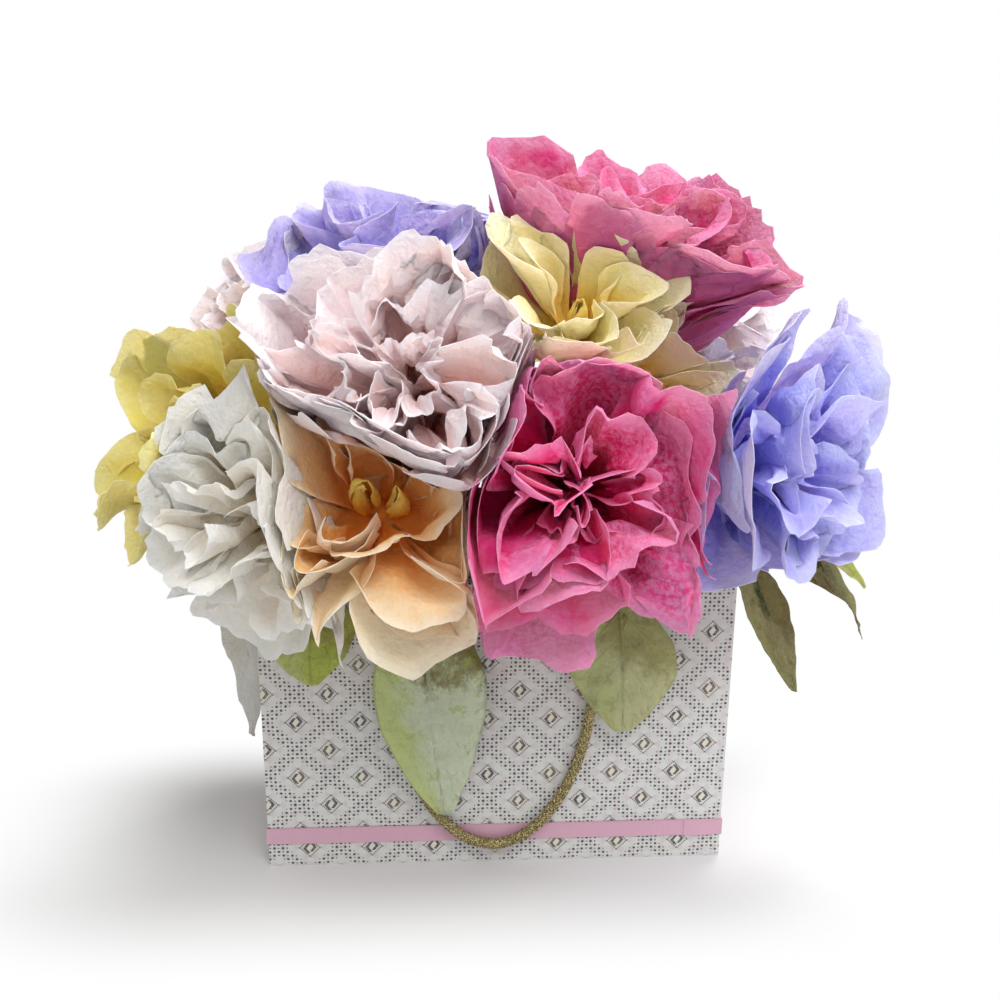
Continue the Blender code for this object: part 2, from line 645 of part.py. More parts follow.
blooms = [Bloom(name, row) for name, row in BLOOMS.items()]
room = [(bloom.middle, bloom.reach) for bloom in blooms]
room += [(anchored(anchor, middle), reach * MM) for anchor, middle, reach in LEAF_ROOM]
rods = []
for number, bloom in enumerate(blooms):
    bloom.add_bounds(room)
    make_petals(bloom, random.Random(number))
    make_bud(bloom)
    rods.append(make_stem(bloom, foam_top))
for name, row in LEAVES.items():
    rods.append(make_leaf(name, row, foam_top))
make_foam(foam_bottom, rods)
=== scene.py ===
# The looks of the paper flower arrangement: blooms and leaves of crumpled paper over a printed gift bag.
# Metres, +Z up, the front of the bag faces -Y. The solids come packed, and each piece here rides on them.

import math
import random

import bpy
import numpy as np
from mathutils import Matrix, Vector, noise


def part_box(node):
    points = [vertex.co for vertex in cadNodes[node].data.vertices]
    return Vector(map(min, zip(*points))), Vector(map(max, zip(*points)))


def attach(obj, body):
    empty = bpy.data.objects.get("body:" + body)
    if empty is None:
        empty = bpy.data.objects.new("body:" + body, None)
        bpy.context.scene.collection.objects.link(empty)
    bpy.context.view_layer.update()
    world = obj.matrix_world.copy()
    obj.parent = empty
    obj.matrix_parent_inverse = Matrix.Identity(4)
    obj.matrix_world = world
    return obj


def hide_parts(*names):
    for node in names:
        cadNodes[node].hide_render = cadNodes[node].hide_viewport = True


mm = 0.001
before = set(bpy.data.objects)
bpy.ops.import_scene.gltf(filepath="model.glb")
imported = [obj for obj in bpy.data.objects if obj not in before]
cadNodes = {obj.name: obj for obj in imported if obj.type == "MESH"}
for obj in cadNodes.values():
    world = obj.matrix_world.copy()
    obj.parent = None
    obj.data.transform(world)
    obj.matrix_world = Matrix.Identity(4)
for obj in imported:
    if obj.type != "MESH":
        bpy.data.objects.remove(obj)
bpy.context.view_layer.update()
print("solids loaded:", len(cadNodes))


class Wire:
    # A node's socket that sums can be written with: each operation adds its Math node.
    def __init__(self, graph, socket):
        self.graph, self.socket = graph, socket

    def maths(self, operation, *values):
        return self.graph.add("ShaderNodeMath", {"operation": operation}, dict(enumerate(values)))

    def __rsub__(self, other):
        return self.maths("SUBTRACT", other, self)

    def fromNearest(self):
        return self - self.maths("ROUND", self)  # how far it is from the nearest whole number

    def zigzag(self):
        return self.maths("PINGPONG", self, 1)

    def rise(self, low, high):
        ends = {"Value": self, "From Min": low, "From Max": high}
        return self.graph.add("ShaderNodeMapRange", {"interpolation_type": "SMOOTHSTEP"}, ends)


# The rest of a wire's operators and methods, each with the Math operation that it adds.
wireMaths = {
    "__add__": "ADD", "__radd__": "ADD", "__sub__": "SUBTRACT", "__mul__": "MULTIPLY", "__rmul__": "MULTIPLY",
    "__truediv__": "DIVIDE", "__pow__": "POWER", "__lt__": "LESS_THAN", "__gt__": "GREATER_THAN",
    "__abs__": "ABSOLUTE", "sin": "SINE", "cos": "COSINE", "floor": "FLOOR", "atLeast": "MAXIMUM",
    "atMost": "MINIMUM"}
for method, operation in wireMaths.items():
    setattr(Wire, method, lambda self, *others, operation=operation: self.maths(operation, self, *others))


class Graph:
    # A node tree that grows by one method: a node's type, its settings, then values or wires for its sockets.
    def __init__(self, tree):
        self.tree = tree

    def add(self, kind, settings=None, inputs=None, out=0):
        node = self.tree.nodes.new(kind)
        for key, value in (settings or {}).items():
            setattr(node, key, value)
        for key, value in (inputs or {}).items():
            socket = self.find(node.inputs, key)
            if isinstance(value, Wire):
                self.tree.links.new(value.socket, socket)
            elif value is not None:
                socket.default_value = (*value, 1) if socket.type == "RGBA" and len(value) == 3 else value
        return Wire(self, self.find(node.outputs, out)) if len(node.outputs) else node

    def find(self, sockets, key):
        if isinstance(key, int):
            return sockets[key]
        return next(socket for socket in sockets if socket.name == key and socket.enabled)

    def more(self, wire, out):
        return Wire(self, self.find(wire.socket.node.outputs, out))  # another output of the same node

    def vector(self, x, y, z):
        return self.add("ShaderNodeCombineXYZ", None, {0: x, 1: y, 2: z})

    def split(self, vector):
        first = self.add("ShaderNodeSeparateXYZ", None, {0: vector})
        return first, self.more(first, 1), self.more(first, 2)

    def noise(self, vector, scale, detail=2.0, roughness=0.5):
        return self.add("ShaderNodeTexNoise", None, {
            "Vector": vector, "Scale": scale, "Detail": detail, "Roughness": roughness})

    def mix(self, share, first, second, blend="MIX"):
        settings = {"data_type": "RGBA", "blend_type": blend}
        return self.add("ShaderNodeMix", settings, {0: share, 6: first, 7: second}, out=2)

    def vectorMaths(self, operation, first, second=None, scale=None, out=0):
        return self.add("ShaderNodeVectorMath", {"operation": operation}, {0: first, 1: second, 3: scale}, out)

    def scaled(self, vector, by):
        return self.vectorMaths("MULTIPLY", vector, by)

    def store(self, geometry, name, value):
        inputs = {"Geometry": geometry, "Name": name, "Value": value}
        return self.add("GeometryNodeStoreNamedAttribute", {"data_type": "FLOAT", "domain": "POINT"}, inputs)

    def read(self, name):
        return self.add("GeometryNodeInputNamedAttribute", {"data_type": "FLOAT"}, {"Name": name}, "Attribute")


# The camera stands where the photograph was taken from.
cameraLook = {"place": (-0.0262, -0.533, 0.3303), "yaw": 0.0548, "down": 0.2635, "roll": 0.0082, "lens": 37.2}


def addCamera():
    yaw, down, roll = cameraLook["yaw"], cameraLook["down"], cameraLook["roll"]
    ahead = Vector((math.sin(yaw) * math.cos(down), math.cos(yaw) * math.cos(down), -math.sin(down)))
    level = Vector((math.cos(yaw), -math.sin(yaw), 0))
    upright = level.cross(ahead)
    across = level * math.cos(roll) + upright * math.sin(roll)
    up = upright * math.cos(roll) - level * math.sin(roll)
    data = bpy.data.cameras.new("camera")
    data.lens, data.sensor_width, data.clip_start = cameraLook["lens"], 36, 0.01
    camera = bpy.data.objects.new("camera", data)
    turn = Matrix((across, up, -ahead)).transposed().to_4x4()
    camera.matrix_world = Matrix.Translation(cameraLook["place"]) @ turn
    bpy.context.scene.collection.objects.link(camera)
    bpy.context.scene.camera = camera


addCamera()


def newPiece(name, vertices, edges, faces, material=None):
    mesh = bpy.data.meshes.new(name)
    mesh.from_pydata(vertices, edges, faces)
    if material:
        mesh.materials.append(material)
    piece = bpy.data.objects.new(name, mesh)
    bpy.context.scene.collection.objects.link(piece)
    return piece


def readPoints(mesh):
    points = np.empty(len(mesh.vertices) * 3, np.float32)
    mesh.vertices.foreach_get("co", points)
    return points.reshape(-1, 3)


def readFloats(mesh, name):
    values = np.empty(len(mesh.vertices), np.float32)
    mesh.attributes[name].data.foreach_get("value", values)
    return values.astype(float)


def writeFloats(mesh, name, values):
    mesh.attributes.new(name, "FLOAT", "POINT").data.foreach_set("value", values)


def settled(piece):
    # The piece as its modifiers leave it, as a plain mesh.
    bpy.context.view_layer.update()
    graph = bpy.context.evaluated_depsgraph_get()
    mesh = bpy.data.meshes.new_from_object(piece.evaluated_get(graph), preserve_all_data_layers=True, depsgraph=graph)
    piece.modifiers.clear()
    piece.data = mesh
    return piece


def trianglesOf(piece):
    return sum(len(face.vertices) - 2 for face in piece.data.polygons)


def newTree(name, inputs):
    tree = bpy.data.node_groups.new(name, "GeometryNodeTree")
    tree.interface.new_socket("Geometry", in_out="INPUT", socket_type="NodeSocketGeometry")
    for label, kind in inputs.items():
        tree.interface.new_socket(label, in_out="INPUT", socket_type="NodeSocket" + kind)
    tree.interface.new_socket("Geometry", in_out="OUTPUT", socket_type="NodeSocketGeometry")
    graph = Graph(tree)
    first = graph.add("NodeGroupInput")
    given = {socket.name: Wire(graph, socket) for socket in first.socket.node.outputs if socket.name}
    return graph, given


def closeTree(graph, geometry, material):
    whole = graph.add("GeometryNodeRealizeInstances", None, {"Geometry": geometry})
    painted = graph.add("GeometryNodeSetMaterial", None, {"Geometry": whole, "Material": material})
    graph.add("NodeGroupOutput", None, {"Geometry": painted})


def applyTree(piece, graph, values):
    modifier = piece.modifiers.new("tree", "NODES")
    modifier.node_group = graph.tree
    for item in graph.tree.interface.items_tree:
        if item.in_out == "INPUT" and item.name in values:
            modifier[item.identifier] = values[item.name]
    return settled(piece)


def seen(colour):
    # A colour written as it looks on a screen, as the shader wants it.
    return tuple(c / 12.92 if c <= 0.04045 else ((c + 0.055) / 1.055) ** 2.4 for c in colour)


def inksOf(inks):
    return {name: seen(value) if isinstance(value, tuple) else value for name, value in inks.items()}


def mixed(pair, share):
    return pair[0] + (pair[1] - pair[0]) * share


# Materials


def newMaterial(name):
    # With its tree, and the place on the piece that its patterns follow.
    material = bpy.data.materials.new(name)
    material.use_nodes = True
    material.node_tree.nodes.clear()
    graph = Graph(material.node_tree)
    return material, graph, graph.add("ShaderNodeTexCoord", None, None, out="Object")


def finishMaterial(graph, colour, roughness, height=None, depth=0.001, bump=0.6, **others):
    inputs = {"Base Color": colour, "Roughness": roughness, "Specular IOR Level": 0.4, **others}
    if height is not None:
        inputs["Normal"] = graph.add("ShaderNodeBump", None, {"Strength": bump, "Distance": depth, "Height": height})
    shader = graph.add("ShaderNodeBsdfPrincipled", None, inputs)
    graph.add("ShaderNodeOutputMaterial", None, {"Surface": shader})


def attribute(graph, name):
    return graph.add("ShaderNodeAttribute", {"attribute_name": name}, None, out="Fac")


# Thin paper lets a little light through.
thinPaper = {
    "Specular IOR Level": 0.25, "Subsurface Weight": 0.6, "Subsurface Scale": 0.003,
    "Subsurface Radius": (1.0, 0.8, 0.7)}


# Paper for the blooms: washed with colour by hand, deeper at the root, blotted and pale towards the tip.
def petalPaper(name, inks):
    material, graph, place = newMaterial(name)
    along, across, rank, tint, heart, back, phase = (
        attribute(graph, key) for key in ("along", "across", "rank", "tint", "heart", "back", "phase"))
    wash = graph.noise(place, 55, 4, 0.6)
    blot = graph.noise(place, 210, 4, 0.62)
    fibre = graph.noise(graph.scaled(place, (1, 1, 0.35)), 1500, 3, 0.6)
    colour = graph.mix(rank.rise(0.05, 0.75), inks["outer"], inks["inner"])
    colour = graph.mix(tint.rise(0.3, 0.7) * inks["shift"], colour, inks["other"])
    deep = (1 - along.rise(0.12, inks["rootEnd"])) * (0.55 + wash * 0.7)
    deep = deep * (1 - (1 - rank.rise(0.1, 0.5)) * inks["plainOuter"])
    colour = graph.mix(deep.atMost(1), colour, inks["root"])
    pale = along.rise(inks["tipStart"], 1.0) * wash.rise(0.32, 0.62) * inks["tipShare"]
    colour = graph.mix(pale, colour, inks["tip"])
    mottle = phase.rise(0.5, 0.6) * graph.noise(place, 380, 4, 0.7).rise(0.40, 0.62) * along.rise(0.2, 0.7)
    colour = graph.mix(mottle * inks["mottle"], colour, inks["tip"])
    colour = graph.mix(back * (0.5 + along * 0.5) * inks["backShare"], colour, inks["back"])
    rim = along.rise(0.90, 1.0).atLeast(abs(across).rise(0.84, 1.0) * along.rise(0.3, 0.7))
    colour = graph.mix(rim * inks["rimShare"], colour, inks["tip"])
    fleck = (blot * 0.62 + wash * 0.38).rise(0.49, 0.60) * along.rise(0.15, 0.6) * inks["fleckShare"]
    colour = graph.mix(fleck, colour, inks["fleck"])
    colour = graph.mix(heart, colour, graph.mix(along.rise(0.2, 0.95), inks["heart"], inks["heartTip"]))
    grey = 0.93 + fibre * 0.14
    colour = graph.mix(1.0, colour, graph.vector(grey, grey, grey), "MULTIPLY")
    crinkle = abs(graph.noise(place, 130, 2) * 2 - 1) + abs(graph.noise(place, 330, 2) * 2 - 1) * 0.45
    height = crinkle + fibre * 0.10
    finishMaterial(graph, colour, 0.78, height, 0.0012, 0.8, **thinPaper)
    return material


# What each paper is washed with. The shares say how much of a colour shows. The last entry is the lilac paper written
# darker: painted shade for the lilac peony, which stands in shade.
plainInks = {
    "rootEnd": 0.62, "tipStart": 0.55, "tipShare": 0.6,
    "fleckShare": 0.2, "rimShare": 0.45, "mottle": 0.2, "backShare": 0.6, "plainOuter": 0.0}
paperInks = {
    "magenta": {
        "back": (0.92, 0.53, 0.73), "mottle": 0.65, "backShare": 0.75, "outer": (0.90, 0.30, 0.56),
        "inner": (0.87, 0.10, 0.39), "root": (0.68, 0.01, 0.20), "tip": (0.96, 0.58, 0.75),
        "fleck": (0.93, 0.46, 0.68), "heart": (0.76, 0.03, 0.28), "heartTip": (0.95, 0.34, 0.60),
        "other": (0.95, 0.15, 0.47), "shift": 0.75, "fleckShare": 0.35, "tipStart": 0.62, "tipShare": 0.6,
        "rootEnd": 0.8},
    "pink": {
        "back": (0.86, 0.46, 0.66), "mottle": 0.45, "outer": (0.82, 0.27, 0.51), "inner": (0.78, 0.16, 0.41),
        "root": (0.66, 0.02, 0.25), "tip": (0.90, 0.56, 0.71), "fleck": (0.87, 0.47, 0.65),
        "heart": (0.66, 0.06, 0.28), "heartTip": (0.84, 0.34, 0.56), "other": (0.78, 0.11, 0.37), "shift": 0.5,
        "fleckShare": 0.3},
    "peach": {
        "back": (0.98, 0.91, 0.78), "backShare": 0.95, "plainOuter": 0.75, "outer": (0.98, 0.90, 0.76),
        "inner": (0.99, 0.70, 0.38), "root": (1.0, 0.53, 0.14), "tip": (0.98, 0.93, 0.82),
        "fleck": (0.96, 0.82, 0.62), "heart": (0.98, 0.66, 0.14), "heartTip": (0.99, 0.84, 0.40),
        "other": (0.99, 0.80, 0.58), "shift": 0.4, "fleckShare": 0.2, "rootEnd": 1.05, "tipShare": 0.5},
    "blush": {
        "back": (0.95, 0.91, 0.93), "backShare": 0.8, "outer": (0.96, 0.89, 0.90), "inner": (0.97, 0.82, 0.80),
        "root": (0.97, 0.60, 0.53), "tip": (0.96, 0.93, 0.95), "fleck": (0.95, 0.89, 0.90),
        "heart": (0.98, 0.64, 0.57), "heartTip": (0.98, 0.85, 0.82), "other": (0.98, 0.84, 0.81), "shift": 0.5,
        "fleckShare": 0.3, "rootEnd": 0.9, "rimShare": 0.8},
    "white": {
        "back": (0.96, 0.94, 0.90), "outer": (0.96, 0.94, 0.91), "inner": (0.97, 0.94, 0.88),
        "root": (0.96, 0.85, 0.68), "tip": (0.97, 0.97, 0.96), "fleck": (0.92, 0.89, 0.83),
        "heart": (0.96, 0.87, 0.72), "heartTip": (0.97, 0.94, 0.88), "other": (0.95, 0.90, 0.82), "shift": 0.5,
        "fleckShare": 0.35, "rootEnd": 0.8, "rimShare": 0.7},
    "yellow": {
        "back": (0.91, 0.84, 0.54), "outer": (0.93, 0.83, 0.38), "inner": (0.94, 0.82, 0.32),
        "root": (0.90, 0.64, 0.10), "tip": (0.95, 0.90, 0.62), "fleck": (0.85, 0.75, 0.36),
        "heart": (0.92, 0.68, 0.16), "heartTip": (0.95, 0.86, 0.44), "other": (0.87, 0.77, 0.38), "shift": 0.5,
        "fleckShare": 0.35, "rootEnd": 0.75},
    "cream": {
        "back": (0.98, 0.95, 0.78), "outer": (0.99, 0.94, 0.68), "inner": (0.99, 0.92, 0.58),
        "root": (0.98, 0.76, 0.24), "tip": (0.99, 0.96, 0.80), "fleck": (0.97, 0.91, 0.70),
        "heart": (0.98, 0.72, 0.22), "heartTip": (0.99, 0.89, 0.52), "other": (0.98, 0.92, 0.78), "shift": 0.4,
        "fleckShare": 0.25, "rootEnd": 0.7},
    "lilac": {
        "back": (0.76, 0.76, 0.99), "mottle": 0.4, "outer": (0.69, 0.67, 0.99), "inner": (0.60, 0.57, 0.98),
        "root": (0.36, 0.31, 0.82), "tip": (0.81, 0.82, 0.99), "fleck": (0.73, 0.73, 0.99),
        "heart": (0.47, 0.41, 0.89), "heartTip": (0.72, 0.70, 0.99), "other": (0.64, 0.60, 0.97), "shift": 0.6,
        "fleckShare": 0.35, "rootEnd": 0.8},
    # The lilac paper written darker: painted shade, not a paper of its own.
    "violet": {
        "back": (0.74, 0.70, 0.90), "mottle": 0.4, "outer": (0.64, 0.60, 0.85), "inner": (0.55, 0.50, 0.81),
        "root": (0.33, 0.26, 0.62), "tip": (0.78, 0.75, 0.93), "fleck": (0.68, 0.65, 0.88),
        "heart": (0.44, 0.37, 0.74), "heartTip": (0.67, 0.64, 0.89), "other": (0.60, 0.54, 0.80), "shift": 0.6,
        "fleckShare": 0.35, "rootEnd": 0.8},
}


# Leaf paper: a pale green wash with olive and lime blots, and faint veins pressed in.
def leafPaper(name, inks):
    material, graph, place = newMaterial(name)
    across, along = attribute(graph, "across"), attribute(graph, "along")
    wash = graph.noise(place, 42, 5, 0.62)
    blot = graph.noise(place, 150, 4, 0.6)
    wrinkle = graph.noise(graph.scaled(place, (1, 1, 0.45)), 330, 4, 0.7)
    reached, turn = along + (wash - 0.5) * 1.1 - across * 0.16, inks["turn"]
    colour = graph.mix(reached.rise(turn, turn + 0.22), inks["top"], inks["low"])
    band = reached.rise(turn - 0.1, turn + 0.05) * (1 - reached.rise(turn + 0.1, turn + 0.3))
    colour = graph.mix(band * wrinkle.rise(0.42, 0.62) * 0.8, colour, inks["worn"])
    colour = graph.mix(((0 - across) * 0.6 + wash).rise(0.55, 0.9) * 0.75, colour, inks["side"])
    colour = graph.mix(blot.rise(0.54, 0.64) * wash.rise(0.4, 0.6) * 0.6, colour, inks["blot"])
    veins = (abs(across) * 2.2 - along * 5.5).fromNearest()
    vein = (1 - abs(veins).rise(0.0, 0.08)) * (1 - abs(across).rise(0.6, 0.95))
    rib = 1 - abs(across).rise(0.0, 0.06)
    colour = graph.mix((vein * 0.12 + rib * 0.3).atMost(1), colour, inks["vein"])
    edge = abs(across).rise(0.93, 1.0) * 0.35
    colour = graph.mix(edge, colour, inks["top"])
    crinkle = abs(graph.noise(place, 110, 3) * 2 - 1) * 1.4 + abs(wrinkle * 2 - 1) * 0.8
    height = crinkle + vein * 0.2 + rib * 0.4 + graph.noise(place, 1400, 2) * 0.1
    finishMaterial(graph, colour, 0.72, height, 0.0026, 1.0, **thinPaper)
    return material


leafInks = {
    "front": {"top": (0.44, 0.44, 0.21), "low": (0.90, 0.94, 0.76), "side": (0.80, 0.86, 0.46),
              "blot": (0.66, 0.72, 0.34), "vein": (0.84, 0.87, 0.74), "worn": (0.55, 0.52, 0.34), "turn": 0.27},
    "pale": {"top": (0.62, 0.62, 0.38), "low": (0.80, 0.80, 0.58), "side": (0.75, 0.77, 0.50),
             "blot": (0.68, 0.68, 0.44), "vein": (0.56, 0.57, 0.36), "worn": (0.66, 0.63, 0.46), "turn": 0.42},
    "olive": {"top": (0.30, 0.31, 0.17), "low": (0.44, 0.46, 0.27), "side": (0.52, 0.54, 0.33),
              "blot": (0.36, 0.37, 0.20), "vein": (0.56, 0.58, 0.38), "worn": (0.40, 0.40, 0.26), "turn": 0.5},
    "fresh": {"top": (0.58, 0.57, 0.28), "low": (0.70, 0.75, 0.32), "side": (0.76, 0.79, 0.50),
              "blot": (0.62, 0.68, 0.20), "vein": (0.42, 0.42, 0.20), "worn": (0.66, 0.63, 0.38), "turn": 0.55},
    # The white petal's paper is written grey, well under the white bloom's paper: painted shade for the scrap hanging
    # beside the bag.
    "white": {"top": (0.80, 0.78, 0.74), "low": (0.86, 0.85, 0.82), "side": (0.76, 0.74, 0.70),
              "blot": (0.80, 0.77, 0.72), "vein": (0.90, 0.89, 0.86), "worn": (0.78, 0.75, 0.70), "turn": 0.5},
}


# The bag's print: a lattice of dots with a small diamond of facing strokes in each field, in millimetres. Shade is
# not print: it is painted shade for the bag's upper part, under the blooms.
bagPrint = {
    "pitchX": 32.6, "pitchZ": 31.4, "startX": -102.9, "startZ": 51.7, "seam": 18.0, "lowX": -98.6, "lowZ": 10.5,
    "middleY": -17,
    "paper": (0.86, 0.87, 0.85), "blush": (0.81, 0.73, 0.77), "ink": (0.12, 0.11, 0.12),
    "bronze": (0.36, 0.28, 0.15),
    "shade": (0.80, 0.74, 0.70), "cream": (0.90, 0.88, 0.80)}


def faceCoordinate(graph, place):
    # Runs across whichever side of the bag it is on, with the height, in millimetres.
    x, y, z = graph.split(graph.scaled(place, (1000, 1000, 1000)))
    facing = graph.add("ShaderNodeNewGeometry", None, None, out="True Normal")
    sideways = abs(graph.split(facing)[0]) > 0.7
    return x * (1 - sideways) + (y - bagPrint["middleY"]) * sideways, z


def bagPaper():
    look = inksOf(bagPrint)
    material, graph, place = newMaterial("bag_paper_print")
    across, z = faceCoordinate(graph, place)
    below = z < look["seam"]
    dx = (across - (look["startX"] + below * (look["lowX"] - look["startX"]))) / look["pitchX"]
    dz = (z - (look["startZ"] + below * (look["lowZ"] - look["startZ"]))) / look["pitchZ"]
    a, b = dx + dz, dx - dz
    halfX, halfZ = look["pitchX"] / 2, look["pitchZ"] / 2

    def reach(da, db):
        u, v = (da + db) * halfX, (da - db) * halfZ
        return (u * u + v * v) ** 0.5

    def dots(offset, number, start, radius):
        # Two rows of dots beside each line of the lattice, on both of its ways.
        found = None
        for first, second in ((a, b), (b, a)):
            row = abs((first - 0.5).fromNearest()) - offset
            step = (second * number + start).fromNearest() / number
            mark = 1 - reach(row, step).rise(radius - 0.18, radius + 0.18)
            found = mark if found is None else found.atLeast(mark)
        return found

    ink = dots(0.066, 7, 0.0, 0.70).atLeast(dots(0.0, 7, 0.5, 0.36)).atLeast(dots(0.128, 7, 0.5, 0.34))
    # The motif in the middle of each field.
    fa, fb = a.fromNearest(), b.fromNearest()
    u, v = (fa + fb) * halfX, (fa - fb) * halfZ
    edge = abs(fa).atLeast(abs(fb))
    rimDots = None
    for first, second in ((fa, fb), (fb, fa)):
        mark = 1 - reach(abs(first) - 0.165, (second * 20).fromNearest() / 20).rise(0.28, 0.50)
        rimDots = mark if rimDots is None else rimDots.atLeast(mark)
    rimDots = rimDots * (edge < 0.195)
    left = abs(u + 2.7 - abs(v + 0.5) * 0.72) + (abs(v + 0.5) > 2.9) * 9
    right = abs(2.7 - u - abs(v - 0.5) * 0.72) + (abs(v - 0.5) > 2.9) * 9
    stroke = 1 - left.atMost(right).rise(0.70, 0.98)
    grain = graph.noise(place, 900, 2)
    stroke = stroke * (grain + 0.35).atMost(1)
    heartField = 1 - (abs(u) * 1.6 + abs(v)).rise(2.2, 3.0)
    # Faint leafy lozenges in pink and grey behind the dots.
    cloud = graph.noise(place, 75, 3, 0.6)
    lozenge = ((a * 3.0).fromNearest() * (b * 3.0).fromNearest() * 4 + 0.5) * 0.5 + cloud * 0.7
    colour = graph.mix(lozenge.rise(0.45, 0.85) * 0.55, look["paper"], look["blush"])
    # Painted shade: the bag grows darker towards its top, where the blooms shade it.
    colour = graph.mix(z.rise(60, 150) * 0.4, colour, look["shade"])
    colour = graph.mix(heartField * 0.8, colour, look["cream"])
    bronze = graph.mix(graph.noise(place, 45, 1).rise(0.4, 0.6), look["ink"], look["bronze"])
    colour = graph.mix(rimDots * 0.85, colour, bronze)
    colour = graph.mix(stroke, colour, bronze)
    colour = graph.mix(ink * 0.92, colour, look["ink"])
    wrinkle = graph.noise(place, 26, 3, 0.6) * 1.4 + graph.noise(place, 300, 3) * 0.12
    finishMaterial(graph, colour, 0.42, wrinkle, 0.0016, 0.5, **{"Specular IOR Level": 0.45})
    return material


# Colours and measures of the smaller finishes. These colours are written as the shader wants them.
ribbonLook = {
    "dark": (0.72, 0.40, 0.53), "light": (0.78, 0.50, 0.62), "worn": (0.76, 0.50, 0.58), "edge": (0.68, 0.36, 0.49),
    "rib": 0.75, "middle": 18, "edgeFrom": 3.9, "edgeTo": 4.4}
goldLook = {"dark": (0.10, 0.085, 0.03), "bright": (0.62, 0.52, 0.27), "metallic": 0.85}
tapeLook = {"dark": (0.24, 0.31, 0.12), "light": (0.36, 0.43, 0.19), "wraps": 330}
foamLook = {"poreShade": (0.07, 0.13, 0.06), "cell": (0.17, 0.29, 0.15), "cells": 900}
boardLook = {"dark": (0.42, 0.39, 0.35), "light": (0.58, 0.55, 0.50), "fibre": 700}


def ribbonWeave():
    look = ribbonLook
    material, graph, place = newMaterial("ribbon_grosgrain")
    across, z = faceCoordinate(graph, place)
    ribs = (across * (2 * math.pi / look["rib"])).sin() * 0.5 + 0.5
    edge = abs(z - look["middle"]).rise(look["edgeFrom"], look["edgeTo"])
    wear = graph.noise(place, 60, 3)
    colour = graph.mix(ribs * 0.35, look["dark"], look["light"])
    colour = graph.mix(wear * 0.35, colour, look["worn"])
    colour = graph.mix(edge * 0.35, colour, look["edge"])
    finishMaterial(graph, colour, 0.5, ribs + edge * 0.6, 0.00018, 0.7, **{"Sheen Weight": 0.2})
    return material


def goldThread():
    material, graph, place = newMaterial("gold_cord_thread")
    twist = graph.noise(place, 1500, 2)
    patch = graph.noise(place, 1700, 2)
    colour = graph.mix(patch.rise(0.40, 0.62), goldLook["dark"], goldLook["bright"])
    metal = {"Metallic": goldLook["metallic"], "Specular IOR Level": 0.5}
    finishMaterial(graph, colour, 0.32 + twist * 0.2, twist, 0.0006, 0.8, **metal)
    return material


def stemTape():
    material, graph, place = newMaterial("floral_tape")
    wrap = (graph.split(place)[2] * tapeLook["wraps"] + graph.noise(place, 60, 2) * 2).zigzag()
    colour = graph.mix(wrap, tapeLook["dark"], tapeLook["light"])
    finishMaterial(graph, colour, 0.65, wrap + graph.noise(place, 800, 2) * 0.4, 0.0006, 0.6)
    return material


def foamBlock():
    material, graph, place = newMaterial("floral_foam")
    pores = graph.add("ShaderNodeTexVoronoi", {"feature": "F1"}, {"Vector": place, "Scale": foamLook["cells"]})
    cells = pores.rise(0.1, 0.6)
    # The pores are darker than the cells: painted shade in the foam's hollows.
    colour = graph.mix(cells, foamLook["poreShade"], foamLook["cell"])
    height = cells + graph.noise(place, 120, 2) * 0.5
    finishMaterial(graph, colour, 0.95, height, 0.0007, 0.8, **{"Specular IOR Level": 0.1})
    return material


def greyBoard():
    material, graph, place = newMaterial("grey_board_fibre")
    fibre = graph.noise(graph.scaled(place, (1, 0.3, 1)), boardLook["fibre"], 4)
    colour = graph.mix(fibre, boardLook["dark"], boardLook["light"])
    finishMaterial(graph, colour, 0.9, fibre, 0.0004, 0.6, **{"Specular IOR Level": 0.2})
    return material


goldMaterial = goldThread()
print("materials ready")


# Cord handle

# The braid: strands that wind round a core, their turns and steps along the cord, and how far they weave in and out.
cordLook = {
    "diameter": 0.006, "strands": 12, "turns": 15, "steps": 340, "strandRadius": 0.00062, "weave": 0.00026,
    "core": 0.72, "strandSides": 5, "coreSides": 12}
# From knot to knot, in millimetres.
cordRoute = [
    (-48, -52.5, 131), (-48, -54.6, 131), (-48, -57.6, 129.4), (-48.2, -59.8, 126), (-48.6, -60.4, 121),
    (-49.2, -59.8, 111), (-49.6, -57.8, 98), (-49, -55.8, 84), (-47, -54.8, 70), (-43.2, -54.4, 55),
    (-37, -54.4, 40.5), (-27.5, -54.4, 27), (-15.5, -54.4, 17), (-1, -54.4, 13.2), (12, -54.4, 17.4),
    (23.5, -54.4, 27), (33, -54.4, 41), (39.8, -54.4, 56), (44, -54.8, 71), (46.4, -55.8, 85),
    (47.6, -57.8, 99), (48, -59.8, 112), (48, -60.4, 121), (48, -59.8, 126), (48, -57.6, 129.4),
    (48, -54.6, 131), (48, -52.5, 131)]


def through(points, steps):
    # A smooth line through the points, with the given number of steps between each two.
    ends = [2 * points[0] - points[1], *points, 2 * points[-1] - points[-2]]
    line = []
    for i in range(len(points) - 1):
        a, b, c, d = ends[i : i + 4]
        for k in range(steps):
            t = k / steps
            bend = (2 * a - 5 * b + 4 * c - d) * t**2 + (3 * b - a - 3 * c + d) * t**3
            line.append(0.5 * (2 * b + (c - a) * t + bend))
    return [*line, points[-1]]


